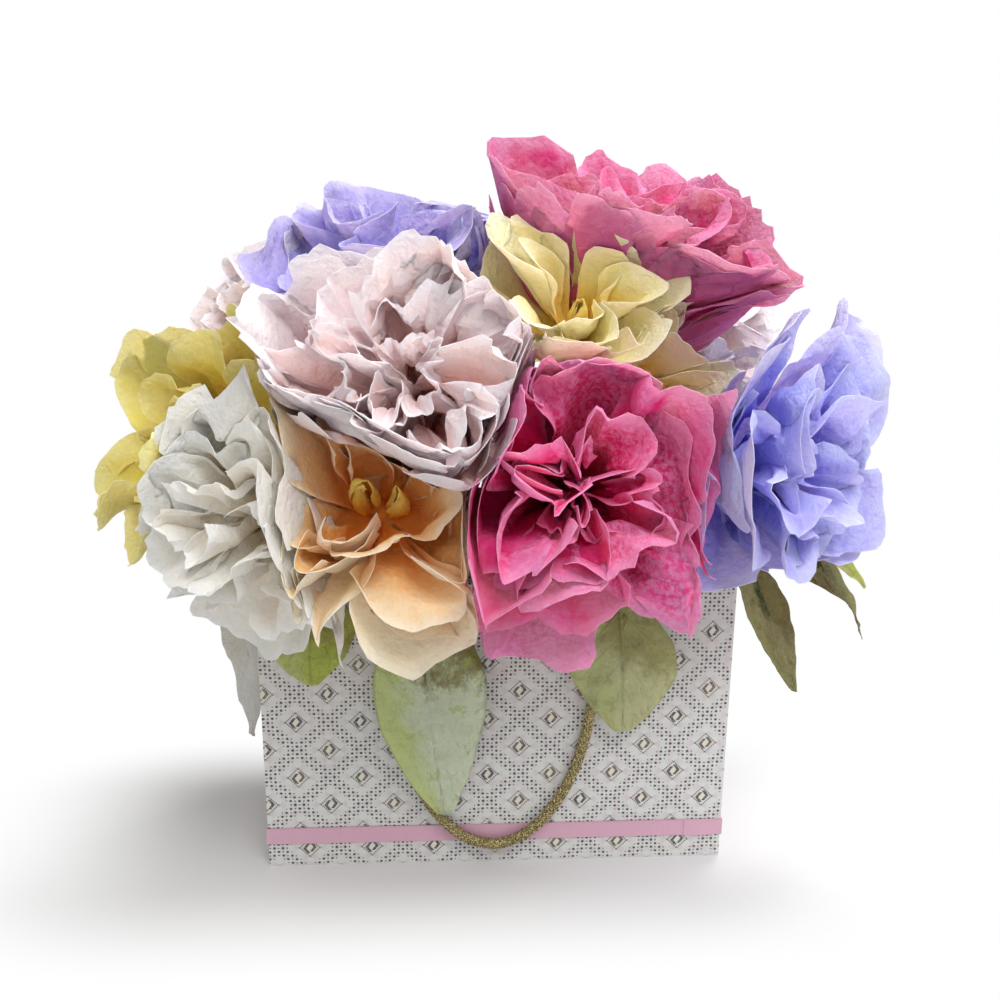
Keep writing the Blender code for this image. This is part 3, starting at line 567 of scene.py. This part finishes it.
def braidTree():
    # Strands that wind both ways round the route, over and under each other, round a core.
    graph, given = newTree("braid", {
        "Strands": "Int", "Steps": "Int", "Turns": "Float", "Radius": "Float", "Weave": "Float",
        "Strand Radius": "Float", "Core Radius": "Float", "Material": "Material"})
    route = graph.add("GeometryNodeMeshToCurve", None, {"Mesh": given["Geometry"]})
    index = graph.add("GeometryNodeInputIndex")
    lines = []
    for count, name, last in ((given["Steps"], "step", 1), (given["Strands"], "strand", 0)):
        line = graph.add("GeometryNodeMeshLine", None, {"Count": count})
        value = index / (count - 1) if last else index * 1.0
        lines.append(graph.store(line, name, value))
    many = graph.add("GeometryNodeInstanceOnPoints", None, {"Points": lines[1], "Instance": lines[0]})
    whole = graph.add("GeometryNodeRealizeInstances", None, {"Geometry": many})
    step, strand = graph.read("step"), graph.read("strand")
    way = 1 - strand.maths("MODULO", strand, 2) * 2
    each = given["Strands"] / 2
    wound = step * given["Turns"] * (2 * math.pi)
    angle = way * wound + (strand / 2).floor() * (2 * math.pi) / each
    radius = given["Radius"] + given["Weave"] * way * (wound * each).cos()
    sample = graph.add("GeometryNodeSampleCurve", {"mode": "FACTOR", "use_all_curves": True}, {
        "Curves": route, "Factor": step}, out="Position")
    tangent, normal = graph.more(sample, "Tangent"), graph.more(sample, "Normal")
    side = graph.vectorMaths("CROSS_PRODUCT", tangent, normal)
    place = sample
    for outward, share in ((normal, angle.cos() * radius), (side, angle.sin() * radius)):
        place = graph.vectorMaths("ADD", place, graph.vectorMaths("SCALE", outward, scale=share))
    wires = graph.add("GeometryNodeSetPosition", None, {"Geometry": whole, "Position": place})
    strands = graph.add("GeometryNodeMeshToCurve", None, {"Mesh": wires})
    solids = []
    parts = (
        (strands, given["Strand Radius"], cordLook["strandSides"]),
        (route, given["Core Radius"], cordLook["coreSides"]))
    for line, width, sides in parts:
        ring = graph.add("GeometryNodeCurvePrimitiveCircle", None, {"Resolution": sides, "Radius": width})
        solids.append(graph.add("GeometryNodeCurveToMesh", None, {
            "Curve": line, "Profile Curve": ring, "Fill Caps": True}))
    joined = graph.add("GeometryNodeJoinGeometry", None, {"Geometry": solids[0]})
    graph.tree.links.new(solids[1].socket, joined.socket.node.inputs[0])
    smooth = graph.add("GeometryNodeSetShadeSmooth", None, {"Geometry": joined})
    closeTree(graph, smooth, given["Material"])
    return graph


def makeCord():
    line = [point * mm for point in through([Vector(point) for point in cordRoute], 6)]
    cord = newPiece("handle_cord_braid", line, [(i, i + 1) for i in range(len(line) - 1)], [])
    half = cordLook["diameter"] / 2
    applyTree(cord, braidTree(), {
        "Strands": cordLook["strands"], "Steps": cordLook["steps"], "Turns": float(cordLook["turns"]),
        "Radius": half - cordLook["strandRadius"] - cordLook["weave"], "Weave": cordLook["weave"],
        "Strand Radius": cordLook["strandRadius"], "Core Radius": half * cordLook["core"], "Material": goldMaterial})
    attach(cord, "root")
    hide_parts("handle_cord")
    length = sum((b - a).length for a, b in zip(line, line[1:]))
    print("cord braided, length", round(length, 4), "m, triangles", trianglesOf(cord))


makeCord()


# Blooms

# Middle in millimetres, azimuth and elevation of the way it faces, reach, paper and form, near those of the solids.
blooms = {
    "magenta_peony": ((29, -105, 219), 5, 12, 82, "magenta", "open"),
    "peach_rose": ((-55, -104, 216), 2, 34, 76, "peach", "cupped"),
    "white_ruffle": ((-110, -90, 202), -30, 2, 66, "white", "crushed"),
    "yellow_lily": ((-143, -38, 220), -50, 18, 88, "yellow", "loose"),
    "blush_peony": ((-39, -92, 254), -8, 32, 78, "blush", "full"),
    # Its paper is the lilac paper written darker: painted shade.
    "lilac_peony": ((-44, -10, 298), -10, 60, 92, "violet", "ruffled"),
    "pink_peony": ((56, -30, 311), 8, 68, 98, "pink", "pointed"),
    "cream_lily": ((34, -60, 292), 0, 42, 62, "cream", "loose"),
    "cream_rose": ((64, -58, 254), 14, 6, 60, "cream", "loose"),
    "lilac_rose": ((129, -69, 216), 30, 0, 92, "lilac", "ruffled"),
    "blush_rose_left": ((-116, 18, 268), -50, 26, 78, "blush", "crushed"),
    "blush_rose_right": ((100, 16, 272), 36, 20, 78, "blush", "crushed"),
    "white_rose_back": ((-84, 86, 208), -158, 6, 64, "white", "back"),
    "yellow_rose_back": ((-2, 84, 262), 180, 28, 64, "yellow", "back"),
    "pink_rose_back": ((84, 88, 208), 158, 6, 66, "pink", "back"),
}
frontBlooms = ("magenta_peony", "peach_rose", "white_ruffle")
# Planes that keep a bloom within its outline in the picture: the way each faces, and how far it is from the middle.
outlines = {"blush_peony": ((0.5, -0.25, -0.83), 0.058), "lilac_peony": ((0.25, 0, 0.97), 0.062)}
# Room that the blooms leave for the leaf under the pink one: middle and reach.
leafRoom = [((113, -9, 294), 14), ((99, -5, 260), 12)]

# Each form, from the outermost petal to the innermost: angles from the bloom's axis in degrees at root and tip,
# length in reaches, half the angle that a petal spans, then how it waves, creases, pleats and curls, in reaches.
plainForm = {
    "petals": 28, "gather": 0.9, "rootLean": (74, 6), "tipLean": (104, 14), "stray": 5, "length": (0.98, 0.66),
    "half": (32, 56), "rounding": 0.22, "jag": 0.14, "edgeLift": 0.05, "cup": 0.07, "warp": 0.10,
    "fold": (-0.12, 0.24), "ruffle": 0.05, "waves": 4.0,
    "crease": 0.05, "creaseSize": 0.020, "pleat": 0.015, "pleats": 3.0, "curl": 0.05, "narrow": 0.18,
    "sharp": 45, "hearts": []}
forms = {
    "full": {
        "petals": 42, "rootLean": (86, 4), "tipLean": (106, 14), "length": (0.98, 0.80), "half": (27, 44),
        "rounding": 0.06, "jag": 0.30, "ruffle": 0.06, "waves": 4.6, "crease": 0.20, "creaseSize": 0.019,
        "pleat": 0.045, "curl": 0.04, "warp": 0.06, "stray": 12, "sharp": 24},
    "open": {
        "petals": 32, "rootLean": (80, 4), "tipLean": (104, 12), "length": (0.98, 0.66), "half": (30, 58),
        "rounding": 0.18, "ruffle": 0.12, "waves": 6.4, "crease": 0.11, "cup": 0.10, "curl": 0.06, "jag": 0.20,
        "stray": 12, "sharp": 32, "hearts": [(0, 0, 4.2, 0.30)]},
    "cupped": {
        "petals": 30, "rootLean": (84, 50), "tipLean": (104, 4), "length": (0.98, 0.50), "half": (31, 44),
        "rounding": 0.30, "jag": 0.10, "ruffle": 0.06, "crease": 0.06, "cup": 0.10, "curl": 0.05, "stray": 10,
        "hearts": [(-5, 2, 4.6, 0.42), (6, 0, 4.0, 0.38)]},
    "crushed": {
        "petals": 22, "rootLean": (76, 6), "tipLean": (98, 16), "length": (0.98, 0.74), "half": (34, 58),
        "rounding": 0.12, "jag": 0.26, "ruffle": 0.07, "crease": 0.19, "creaseSize": 0.024, "pleat": 0.05,
        "warp": 0.08, "stray": 11, "sharp": 24},
    "loose": {
        "petals": 17, "rootLean": (60, 14), "tipLean": (84, 26), "length": (0.98, 0.72), "half": (30, 44),
        "rounding": 0.32, "ruffle": 0.04, "crease": 0.035, "pleat": 0.02, "curl": 0.05, "cup": 0.12,
        "hearts": [(0, 0, 4.0, 0.36)]},
    "ruffled": {
        "petals": 32, "rootLean": (74, 4), "tipLean": (100, 14), "length": (0.98, 0.70), "half": (30, 58),
        "rounding": 0.24, "ruffle": 0.085, "crease": 0.06, "cup": 0.10, "curl": 0.12,
        "hearts": [(0, 0, 4.6, 0.42)]},
    "pointed": {
        "petals": 34, "rootLean": (74, 6), "tipLean": (102, 16), "length": (0.98, 0.68), "half": (28, 52),
        "rounding": 0.30, "jag": 0.22, "ruffle": 0.10, "crease": 0.075, "cup": 0.08, "curl": 0.08, "sharp": 36,
        "hearts": [(0, 0, 4.2, 0.34)]},
    "back": {
        "petals": 20, "rootLean": (70, 8), "tipLean": (94, 18), "length": (0.98, 0.66), "half": (32, 52)},
}
petalLook = {
    "grid": (19, 23), "rearGrid": (15, 18), "paper": 0.00028, "foot": 0.0036, "flare": 0.0036, "rootDepth": 0.0013,
    "bulk": 0.35, "overlap": 0.012, "pressStart": 0.74, "frontClear": 0.067, "rim": 0.160, "meander": 0.007,
    "layer": 0.012, "crowded": 0.8, "stretch": 0.34, "rearFrom": 0.05, "goldenAngle": 2.39996, "ripple": 0.019,
    "leastBend": 0.12, "held": 0.34, "inset": 0.004,
    # Straight creases across a sheet: the way they run in radians, how many there are to a crease size, how deep.
    "creases": ((0.5, 0.5, 1.0), (1.7, 0.8, 0.7), (2.6, 1.3, 0.42), (3.9, 2.2, 0.2))}

# What the petals' tree takes from a bloom's form, each under its own name.
bends = (
    "rounding", "jag", "narrow", "edgeLift", "cup", "ruffle", "waves", "crease", "creaseSize", "pleat", "pleats",
    "curl", "warp")


def bloomTree():
    # One sheet for each point, bent from root to tip as the point's values say.
    graph, given = newTree("petals", {
        "Columns": "Int", "Rows": "Int", "Reach": "Float", **dict.fromkeys(bends, "Float"), "Material": "Material"})
    sheet = graph.add("GeometryNodeMeshGrid", None, {
        "Size X": 2.0, "Size Y": 1.0, "Vertices X": given["Columns"], "Vertices Y": given["Rows"]})
    x, y, _ = graph.split(graph.add("GeometryNodeInputPosition"))
    for name, value in (("across", x), ("along", y + 0.5)):
        sheet = graph.store(sheet, name, value)
    many = graph.add("GeometryNodeInstanceOnPoints", None, {"Points": given["Geometry"], "Instance": sheet})
    whole = graph.add("GeometryNodeRealizeInstances", None, {"Geometry": many})

    read = graph.read
    u, v, phase, first, last = (read(name) for name in ("across", "along", "phase", "first", "last"))
    reach = given["Reach"]
    flat = u * u
    torn = graph.noise(graph.vector(u * 2.2 + phase * 13, phase * 7, v * 0.8), 1.6, 3, 0.65) - 0.5
    along = v * (1 - given["rounding"] * flat + given["jag"] * torn * v)
    lean = first + (last - first) * along
    run = read("run")
    radius = read("rootRadius") + run * (first.cos() - lean.cos())
    height = read("rootHeight") + run * (lean.sin() - first.sin())
    width = (0.66 + v * 0.36) * (1 - given["narrow"] * v**5)
    angle = read("heading") + u * width * read("half")
    # Folds: a lifted edge, a cup, waves, pleats from the root, and sharp creases all over.
    soft = graph.noise(graph.vector(u * 1.3, v * 1.7, phase * 11), 1.2, 1) - 0.5
    wave = (given["waves"] * u + phase * 6.28 + soft * 5 + v * 1.5).sin() * v * v * (0.35 + flat * 0.65)
    folded = (u * given["pleats"] + phase * 9 + soft * 1.6).zigzag() - 0.5
    wide, tall = u * reach * 0.5 / given["creaseSize"], v * reach / given["creaseSize"]
    swerve = (graph.noise(graph.vector(wide * 0.4 + phase * 37, tall * 0.4, phase * 23), 1.0, 1) - 0.5) * 1.4
    creased = None
    for turned, pace, share in petalLook["creases"]:
        way = phase * 6.28 + turned
        ridge = ((wide * way.cos() + tall * way.sin()) * pace + swerve + phase * 9).zigzag() - 0.5
        creased = ridge * share if creased is None else creased + ridge * share
    tipCurl = (v - 0.62).atLeast(0)
    lift = v * (given["edgeLift"] * u + given["cup"] * v * flat)
    lift = lift + given["ruffle"] * wave + given["pleat"] * folded * v.rise(0.0, 0.6)
    lift = lift + given["crease"] * creased * v.rise(0.0, 0.5)
    lift = lift + read("fold") * abs(u - read("foldAt")) * v
    lift = (lift - given["curl"] * tipCurl * tipCurl * 6 * (0.3 + read("tint"))) * reach * read("size")
    radius, height = radius - lift * lean.cos(), height + lift * lean.sin()
    bent = graph.vector(radius * angle.cos() + read("shiftX"), radius * angle.sin() + read("shiftY"), height)
    swirl = graph.add("ShaderNodeTexNoise", None, {"Vector": bent, "Scale": 24.0, "Detail": 1.0}, out="Color")
    swirl = graph.vectorMaths("SUBTRACT", swirl, (0.5, 0.5, 0.5))
    amount = given["warp"] * reach * v * (1.3 - read("heart") * 1.1) * 2
    bent = graph.vectorMaths("ADD", bent, graph.vectorMaths("SCALE", swirl, scale=amount))
    placed = graph.add("GeometryNodeSetPosition", None, {"Geometry": whole, "Position": bent})
    smooth = graph.add("GeometryNodeSetShadeSmooth", None, {"Geometry": placed})
    closeTree(graph, smooth, given["Material"])
    return graph


def petalSeeds(form, reach, rng):
    # The values of each petal, outermost first, each turned by the golden angle from the one before.
    seeds = []
    count = form["petals"]
    for k in range(count):
        share = (k + 0.5) / count
        bend = share ** form["gather"]
        first = math.radians(mixed(form["rootLean"], bend) + rng.uniform(-1, 1) * form["stray"])
        last = math.radians(mixed(form["tipLean"], bend) + rng.uniform(-1, 1) * form["stray"])
        if abs(last - first) < petalLook["leastBend"]:
            last = first + petalLook["leastBend"]
        length = mixed(form["length"], share) * reach * rng.uniform(0.84, 1.08)
        rootHeight = mixed((0.0016, 0.0054), share)
        flare = petalLook["flare"] * rootHeight / 0.007
        seeds.append({
            "heading": k * petalLook["goldenAngle"] + rng.uniform(-0.4, 0.4), "first": first, "last": last,
            "run": length / (last - first),
            "rootHeight": rootHeight, "rootRadius": petalLook["foot"] + flare - petalLook["rootDepth"],
            "half": math.radians(mixed(form["half"], share)) * rng.uniform(0.85, 1.15), "phase": rng.random(),
            "tint": rng.random(), "rank": share, "heart": 0.0,
            "fold": rng.uniform(*form["fold"]), "foldAt": rng.uniform(-0.5, 0.5), "size": mixed((1.0, 0.6), share),
            "shiftX": 0.0, "shiftY": 0.0})
    # A shallow bowl closes the foot, and a heart is a few narrow strips rolled round each other.
    seeds.append({
        **seeds[-1], "heading": 0.0, "first": 1.5, "last": 1.1, "run": -0.55 * reach, "rootRadius": 0.0, "half": 4.8,
        "size": 0.2, "fold": 0.0, "rank": 0.9})
    for x, y, radius, tall in form["hearts"]:
        for k in range(4):
            seeds.append({
                "heading": k * 1.9 + x, "first": 0.10, "last": -0.30, "run": -tall * reach * (1 - 0.08 * k) / 0.40,
                "rootHeight": 0.006, "rootRadius": (radius - k * 1.1) * mm, "half": 2.2, "phase": rng.random(),
                "tint": rng.random() * 0.4, "rank": 1.0, "heart": 1.0, "fold": 0.0, "foldAt": 0.0, "size": 0.22,
                "shiftX": x * mm, "shiftY": y * mm})
    return seeds


class Bloom:
    # Where a bloom stands and which neighbours crowd it.
    def __init__(self, name, row):
        middle, azimuth, elevation, reach, self.paper, form = row
        a, e = math.radians(azimuth), math.radians(elevation)
        self.name, self.form = name, {**plainForm, **forms[form]}
        self.axis = Vector((math.sin(a) * math.cos(e), -math.cos(a) * math.cos(e), math.sin(e)))
        self.middle, self.reach = Vector(middle) * mm, reach * mm
        self.foot = self.middle - self.axis * petalLook["bulk"] * self.reach
        self.frame = Matrix.Translation(self.foot) @ self.axis.to_track_quat("Z", "Y").to_matrix().to_4x4()
        self.bounds, self.near = [], []

    def findBounds(self, neighbours):
        # Each bound: its way, how far it is from the middle, and how it meanders.
        own = neighbours.index((self.middle, self.reach))
        for number, (middle, reach) in enumerate(neighbours):
            gap = middle - self.middle
            if gap.length > 0:
                share = gap.length * self.reach / (self.reach + reach)
                self.bounds.append((gap.normalized(), share + petalLook["overlap"], 1 if own < number else -1))
                if gap.length < petalLook["crowded"] * (self.reach + reach):
                    self.near.append(np.array(gap.normalized()))
        if self.name in outlines:
            way, far = outlines[self.name]
            self.bounds.append((Vector(way).normalized(), far, 0))
        if self.name in frontBlooms:
            self.bounds.append((Vector((0, 1, 0)), -petalLook["frontClear"] - self.middle.y, 0))
        else:
            self.bounds.append((Vector((0, 0, -1)), self.middle.z - petalLook["rim"], 0))

    def pressed(self, points, inset):
        middle = np.array(self.middle)
        x, y, z = (points / petalLook["ripple"]).T
        ripple = 0.5 * np.sin(x + 1.3 * np.sin(y)) + 0.5 * np.sin(1.4 * z + np.sin(1.7 * x) + y)
        ripple *= petalLook["meander"]
        # Petals grow longer towards a near neighbour, so that the blooms close up.
        offset = points - middle
        ways = offset / np.maximum(np.linalg.norm(offset, axis=1), 0.001)[:, None]
        toward = np.max([ways @ way for way in self.near] or [np.zeros(len(points))], axis=0)
        share = np.clip((toward - 0.25) / 0.5, 0, 1)
        points = points + offset * (petalLook["stretch"] * share * share * (3 - 2 * share))[:, None]
        for _ in range(3):
            for normal, bound, side in self.bounds:
                limit = np.maximum(bound - inset + ripple * side, 0.004)
                start = petalLook["pressStart"] * limit
                beyond = (points - middle) @ np.array(normal) - start
                room = limit - start
                step = np.where(beyond > 0, beyond - room * (1 - np.exp(-beyond / room)), 0)
                points = points - step[:, None] * np.array(normal)
        return points


def markBacks(mesh, bloom):
    # Solidify keeps the sheets' points first and their doubles after them: whichever lie further out are the backs.
    first, second = np.split(readPoints(mesh), 2)
    inward = np.array(bloom.middle + bloom.axis * bloom.reach * 0.6) - first
    outer = ((first - second) * inward).sum() < 0
    back = np.repeat([float(outer), float(not outer)], len(first)).astype(np.float32)
    writeFloats(mesh, "back", back)


def makeBloom(bloom, tree, number):
    form = bloom.form
    seeds = petalSeeds(form, bloom.reach, random.Random(number * 7 + 3))
    piece = newPiece(bloom.name + "_paper", [(0, 0, 0)] * len(seeds), [], [])
    for key in seeds[0]:
        writeFloats(piece.data, key, [seed[key] for seed in seeds])
    columns, rows = petalLook["rearGrid" if bloom.middle.y > petalLook["rearFrom"] else "grid"]
    applyTree(piece, tree, {
        "Columns": columns, "Rows": rows, "Reach": bloom.reach,
        **{key: form[key] for key in bends}, "Material": papers[bloom.paper]})
    mesh = piece.data
    turn = np.array(bloom.frame)
    free = readPoints(mesh).astype(float) @ turn[:3, :3].T + turn[:3, 3]
    along, rank, phase = (readFloats(mesh, key) for key in ("along", "rank", "phase"))
    pressed = bloom.pressed(free, petalLook["inset"] * rank + petalLook["layer"] * phase)
    held = np.minimum(1, along / petalLook["held"])[:, None]
    mesh.vertices.foreach_set("co", (free + (pressed - free) * held).astype(np.float32).ravel())
    for name in [layer.name for layer in mesh.attributes]:
        if name in seeds[0] and name not in ("rank", "tint", "heart", "phase"):
            mesh.attributes.remove(mesh.attributes[name])
    mesh.update()
    sheet = piece.modifiers.new("paper", "SOLIDIFY")
    sheet.thickness, sheet.offset = petalLook["paper"], 0
    settled(piece)
    markBacks(piece.data, bloom)
    piece.data.set_sharp_from_angle(angle=math.radians(form["sharp"]))
    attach(piece, "root")
    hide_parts(bloom.name + "_petals", bloom.name + "_bud")
    ("lilac" if bloom.paper == "violet" else bloom.paper) + "_paper"
    return trianglesOf(piece)


papers = {name: petalPaper(name + "_petal_paper", inksOf({**plainInks, **inks})) for name, inks in paperInks.items()}
placed = [Bloom(name, row) for name, row in blooms.items()]
crowd = [(bloom.middle, bloom.reach) for bloom in placed]
crowd += [(Vector(middle) * mm, reach * mm) for middle, reach in leafRoom]
petals = bloomTree()
total = 0
for number, bloom in enumerate(placed):
    bloom.findBounds(crowd)
    total += makeBloom(bloom, petals, number)
print("blooms folded, triangles", total)


# Leaves

# Where the stalk enters the foam and crosses the rim, the blade's spine, its width, the way across it, and its paper.
leaves = {
    "leaf_front_large": (
        (-30, -33), (-34, -46, 163), [(-35, -60, 161), (-36, -74, 140), (-36, -68, 92), (-27, -60.5, 35)],
        56, (1, 0, 0.05), "front"),
    "leaf_front_right": (
        (46, -33), (56, -46, 163), [(57, -60, 161), (59, -74, 142), (62, -66, 112), (63, -62, 81)],
        54, (1, 0, 0), "pale"),
    "leaf_front_left": (
        (-70, -33), (-86, -46, 163), [(-88, -57, 161), (-92, -64, 148), (-94, -60, 128), (-93, -59, 108)],
        44, (1, 0, 0), "fresh"),
    "leaf_right_down": (
        (92, -26), (108, -32, 172), [(122, -38, 166), (138, -44, 152), (140, -48, 122), (154, -50, 96)],
        24, (0.8, -0.6, 0.2), "olive"),
    "leaf_right_out": (
        (98, -10), (110, -14, 172), [(130, -20, 168), (158, -34, 168), (180, -44, 160), (186, -50, 126)],
        28, (0.2, -0.5, -0.84), "olive"),
    "leaf_right_small": (
        (100, 4), (112, 4, 174), [(132, 0, 172), (160, -10, 176), (184, -16, 162), (198, -22, 142)],
        12, (0.5, -0.3, 0.8), "fresh"),
    "leaf_top_right": (
        (66, -2), (92, -4, 220), [(100, -6, 264), (106, -8, 284), (114, -10, 296), (128, -14, 318)],
        24, (0.5, -0.85, 0), "olive"),
    # Its paper is written grey: painted shade.
    "white_side_petal": (
        (-98, 18), (-112, 20, 171), [(-128, 21, 162), (-146, 22, 136), (-136, 24, 90), (-141, 28, 36)],
        44, (-0.6, 0.8, 0), "white"),
}
leafLook = {
    "rows": 40, "columns": 23, "paper": 0.0003, "stalk": 0.0011, "depth": 0.034, "wrinkle": 0.0036, "size": 0.013,
    # Where a blade is widest: 0.9 unless it is given here, and the more, the nearer its tip.
    "low": {"leaf_front_large": 1.25, "leaf_front_right": 1.3, "leaf_front_left": 1.2}}


def bezier(a, b, c, d, t):
    return a * (1 - t) ** 3 + b * 3 * t * (1 - t) ** 2 + c * 3 * t * t * (1 - t) + d * t**3


def tube(points, radius, sides):
    # Rings round a line of points, closed at both ends, as vertices and faces.
    vertices, faces = [], []
    side = Vector((1, 0, 0))
    for i, point in enumerate(points):
        ahead = (points[min(i + 1, len(points) - 1)] - points[max(i - 1, 0)]).normalized()
        side = (side - ahead * side.dot(ahead)).normalized()
        other = ahead.cross(side)
        for k in range(sides):
            a = 2 * math.pi * k / sides
            vertices.append(point + radius * (side * math.cos(a) + other * math.sin(a)))
    for i in range(len(points) - 1):
        for k in range(sides):
            n = (k + 1) % sides
            faces.append((i * sides + k, i * sides + n, (i + 1) * sides + n, (i + 1) * sides + k))
    faces.append(tuple(range(sides))[::-1])
    faces.append(tuple(range(len(vertices) - sides, len(vertices))))
    return vertices, faces


def makeLeaf(name, row, foamTop, seed):
    hole, crossing, spine, width, across, paper = row
    spine = [Vector(point) * mm for point in spine]
    side = Vector(across).normalized()
    rows, columns = leafLook["rows"], leafLook["columns"]
    vertices, marks = [], []
    for j in range(rows):
        v = j / (rows - 1)
        point = bezier(*spine, v)
        ahead = bezier(*spine, min(1, v + 0.02)) - bezier(*spine, max(0, v - 0.02))
        fold = side.cross(ahead).normalized()
        swell = min(1, 0.06 + 0.92 * v) ** leafLook["low"].get(name, 0.9)
        half = width * 0.5 * mm * (0.08 + 0.92 * math.sin(math.pi * swell))
        for i in range(columns):
            u = 2 * i / (columns - 1) - 1
            torn = 1 + 0.05 * noise.noise(Vector((v * 7, seed, u)))
            flat = point + side * (u * half * torn)
            spot = Vector((u * half, v * (spine[3] - spine[0]).length, seed * 0.37)) / leafLook["size"]
            wrinkle = abs(noise.noise(spot)) * 1.2 + abs(noise.noise(spot * 2.3)) * 0.6 - 0.35
            wrinkle *= leafLook["wrinkle"] * min(1, v * 5)
            wave = half * 0.10 * math.sin(6 * v + 2.2 * u + seed) * u * u
            vertices.append(flat + fold * (abs(u) * half * 0.14 + wrinkle + wave))
            marks.append((u, v))
    faces = [
        (j * columns + i, j * columns + i + 1, (j + 1) * columns + i + 1, (j + 1) * columns + i)
        for j in range(rows - 1) for i in range(columns - 1)]
    piece = newPiece(name + "_paper", vertices, [], faces, leafPapers[paper])
    for key, place in (("across", 0), ("along", 1)):
        writeFloats(piece.data, key, [mark[place] for mark in marks])
    sheet = piece.modifiers.new("paper", "SOLIDIFY")
    sheet.thickness, sheet.offset = leafLook["paper"], 0
    settled(piece)
    entry = Vector((*hole, 0)) * mm + Vector((0, 0, foamTop))
    line = through([entry, Vector(crossing) * mm, spine[0], bezier(*spine, 0.25), bezier(*spine, 0.5)], 6)
    bottom = entry - Vector((0, 0, leafLook["depth"]))
    points, sides = tube([bottom, *line], leafLook["stalk"], 8)
    stalk = newPiece(name + "_stalk", points, [], sides, leafPapers[paper])
    for one in (piece, stalk):
        one.data.shade_smooth()
    with bpy.context.temp_override(active_object=piece, selected_editable_objects=[piece, stalk]):
        bpy.ops.object.join()
    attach(piece, "root")
    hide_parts(name)
    "white_paper" if paper == "white" else "leaf_paper"


leafPapers = {name: leafPaper(name + "_leaf_paper", inksOf(inks)) for name, inks in leafInks.items()}
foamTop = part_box("foam_block")[1][2]
for number, (name, row) in enumerate(leaves.items()):
    makeLeaf(name, row, foamTop, number * 3.7 + 1)
print("leaves cut:", len(leaves))


# The solids that still show get their finishes.
def dress(name, material):
    for slot in cadNodes[name].material_slots:
        slot.material = material


tape = stemTape()
for name in cadNodes:
    if name.endswith("_stem"):
        dress(name, tape)
dress("gift_bag", bagPaper())
dress("ribbon_band", ribbonWeave())
dress("foam_block", foamBlock())
dress("base_card", greyBoard())
for side in ("left", "right"):
    dress("handle_knot_" + side, goldMaterial)


# Floor, light and background

# The shadow is kept within a soft-edged field round the bag, where the grey floor colour adds a painted shade round
# the bag: its middle, its half sizes and how far it fades.
roomLook = {
    "floor": 3.0, "middle": (0.0, -0.022, 0), "half": (0.155, 0.042, 0), "fade": (0.150, 0.075, 1.0),
    "worldLight": 0.53, "colour": (0.70, 0.70, 0.70)}


def makeFloor():
    half = roomLook["floor"]
    corners = [(-half, -half, 0), (half, -half, 0), (half, half, 0), (-half, half, 0)]
    material, graph, place = newMaterial("floor_white")
    place = graph.scaled(place, (1, 1, 0))
    place = graph.vectorMaths("ABSOLUTE", graph.vectorMaths("SUBTRACT", place, roomLook["middle"]))
    beyond = graph.vectorMaths("MAXIMUM", graph.vectorMaths("SUBTRACT", place, roomLook["half"]), (0, 0, 0))
    distance = graph.vectorMaths("LENGTH", graph.vectorMaths("DIVIDE", beyond, roomLook["fade"]), out="Value")
    camera = graph.add("ShaderNodeLightPath", None, None, out="Is Camera Ray")
    # Grey near the bag: painted shade, on which the lamps' shadow also falls; it fades to plain white further out.
    plain = graph.add("ShaderNodeBsdfPrincipled", None, {
        "Base Color": roomLook["colour"], "Roughness": 0.9, "Specular IOR Level": 0.1})
    bright = graph.add("ShaderNodeEmission", None, {"Color": (1, 1, 1), "Strength": 1.0})
    fade = distance.rise(0, 1) * camera
    shader = graph.add("ShaderNodeMixShader", None, {0: fade, 1: plain, 2: bright})
    graph.add("ShaderNodeOutputMaterial", None, {"Surface": shader})
    floor = newPiece("floor", corners, [], [(0, 1, 2, 3)], material)


def makeWorld():
    world = bpy.data.worlds.new("world")
    bpy.context.scene.world = world
    world.use_nodes = True
    world.node_tree.nodes.clear()
    graph = Graph(world.node_tree)
    camera = graph.add("ShaderNodeLightPath", None, None, out="Is Camera Ray")
    shown = camera.atLeast(graph.more(camera, "Is Glossy Ray")).atLeast(graph.more(camera, "Is Transmission Ray"))
    strength = shown * (1 - roomLook["worldLight"]) + roomLook["worldLight"]
    background = graph.add("ShaderNodeBackground", None, {"Color": (1, 1, 1), "Strength": strength})
    graph.add("ShaderNodeOutputWorld", None, {"Surface": background})


lampLook = {  # place, point it faces, side in metres, watts
    "key": ((0.35, -0.85, 1.5), (0, 0, 0.2), 0.8, 18),
    "top": ((0.4, 0.35, 1.45), (0, 0, 0.2), 0.6, 14),
}


def makeLamps():
    for name, (place, target, side, watts) in lampLook.items():
        data = bpy.data.lights.new(name, "AREA")
        data.shape, data.size, data.energy = "SQUARE", side, watts
        lamp = bpy.data.objects.new(name, data)
        lamp.location = place
        lamp.rotation_euler = (Vector(target) - Vector(place)).to_track_quat("-Z", "Y").to_euler()
        bpy.context.scene.collection.objects.link(lamp)


makeFloor()
makeWorld()
makeLamps()
bpy.context.scene.view_settings.view_transform = "Standard"
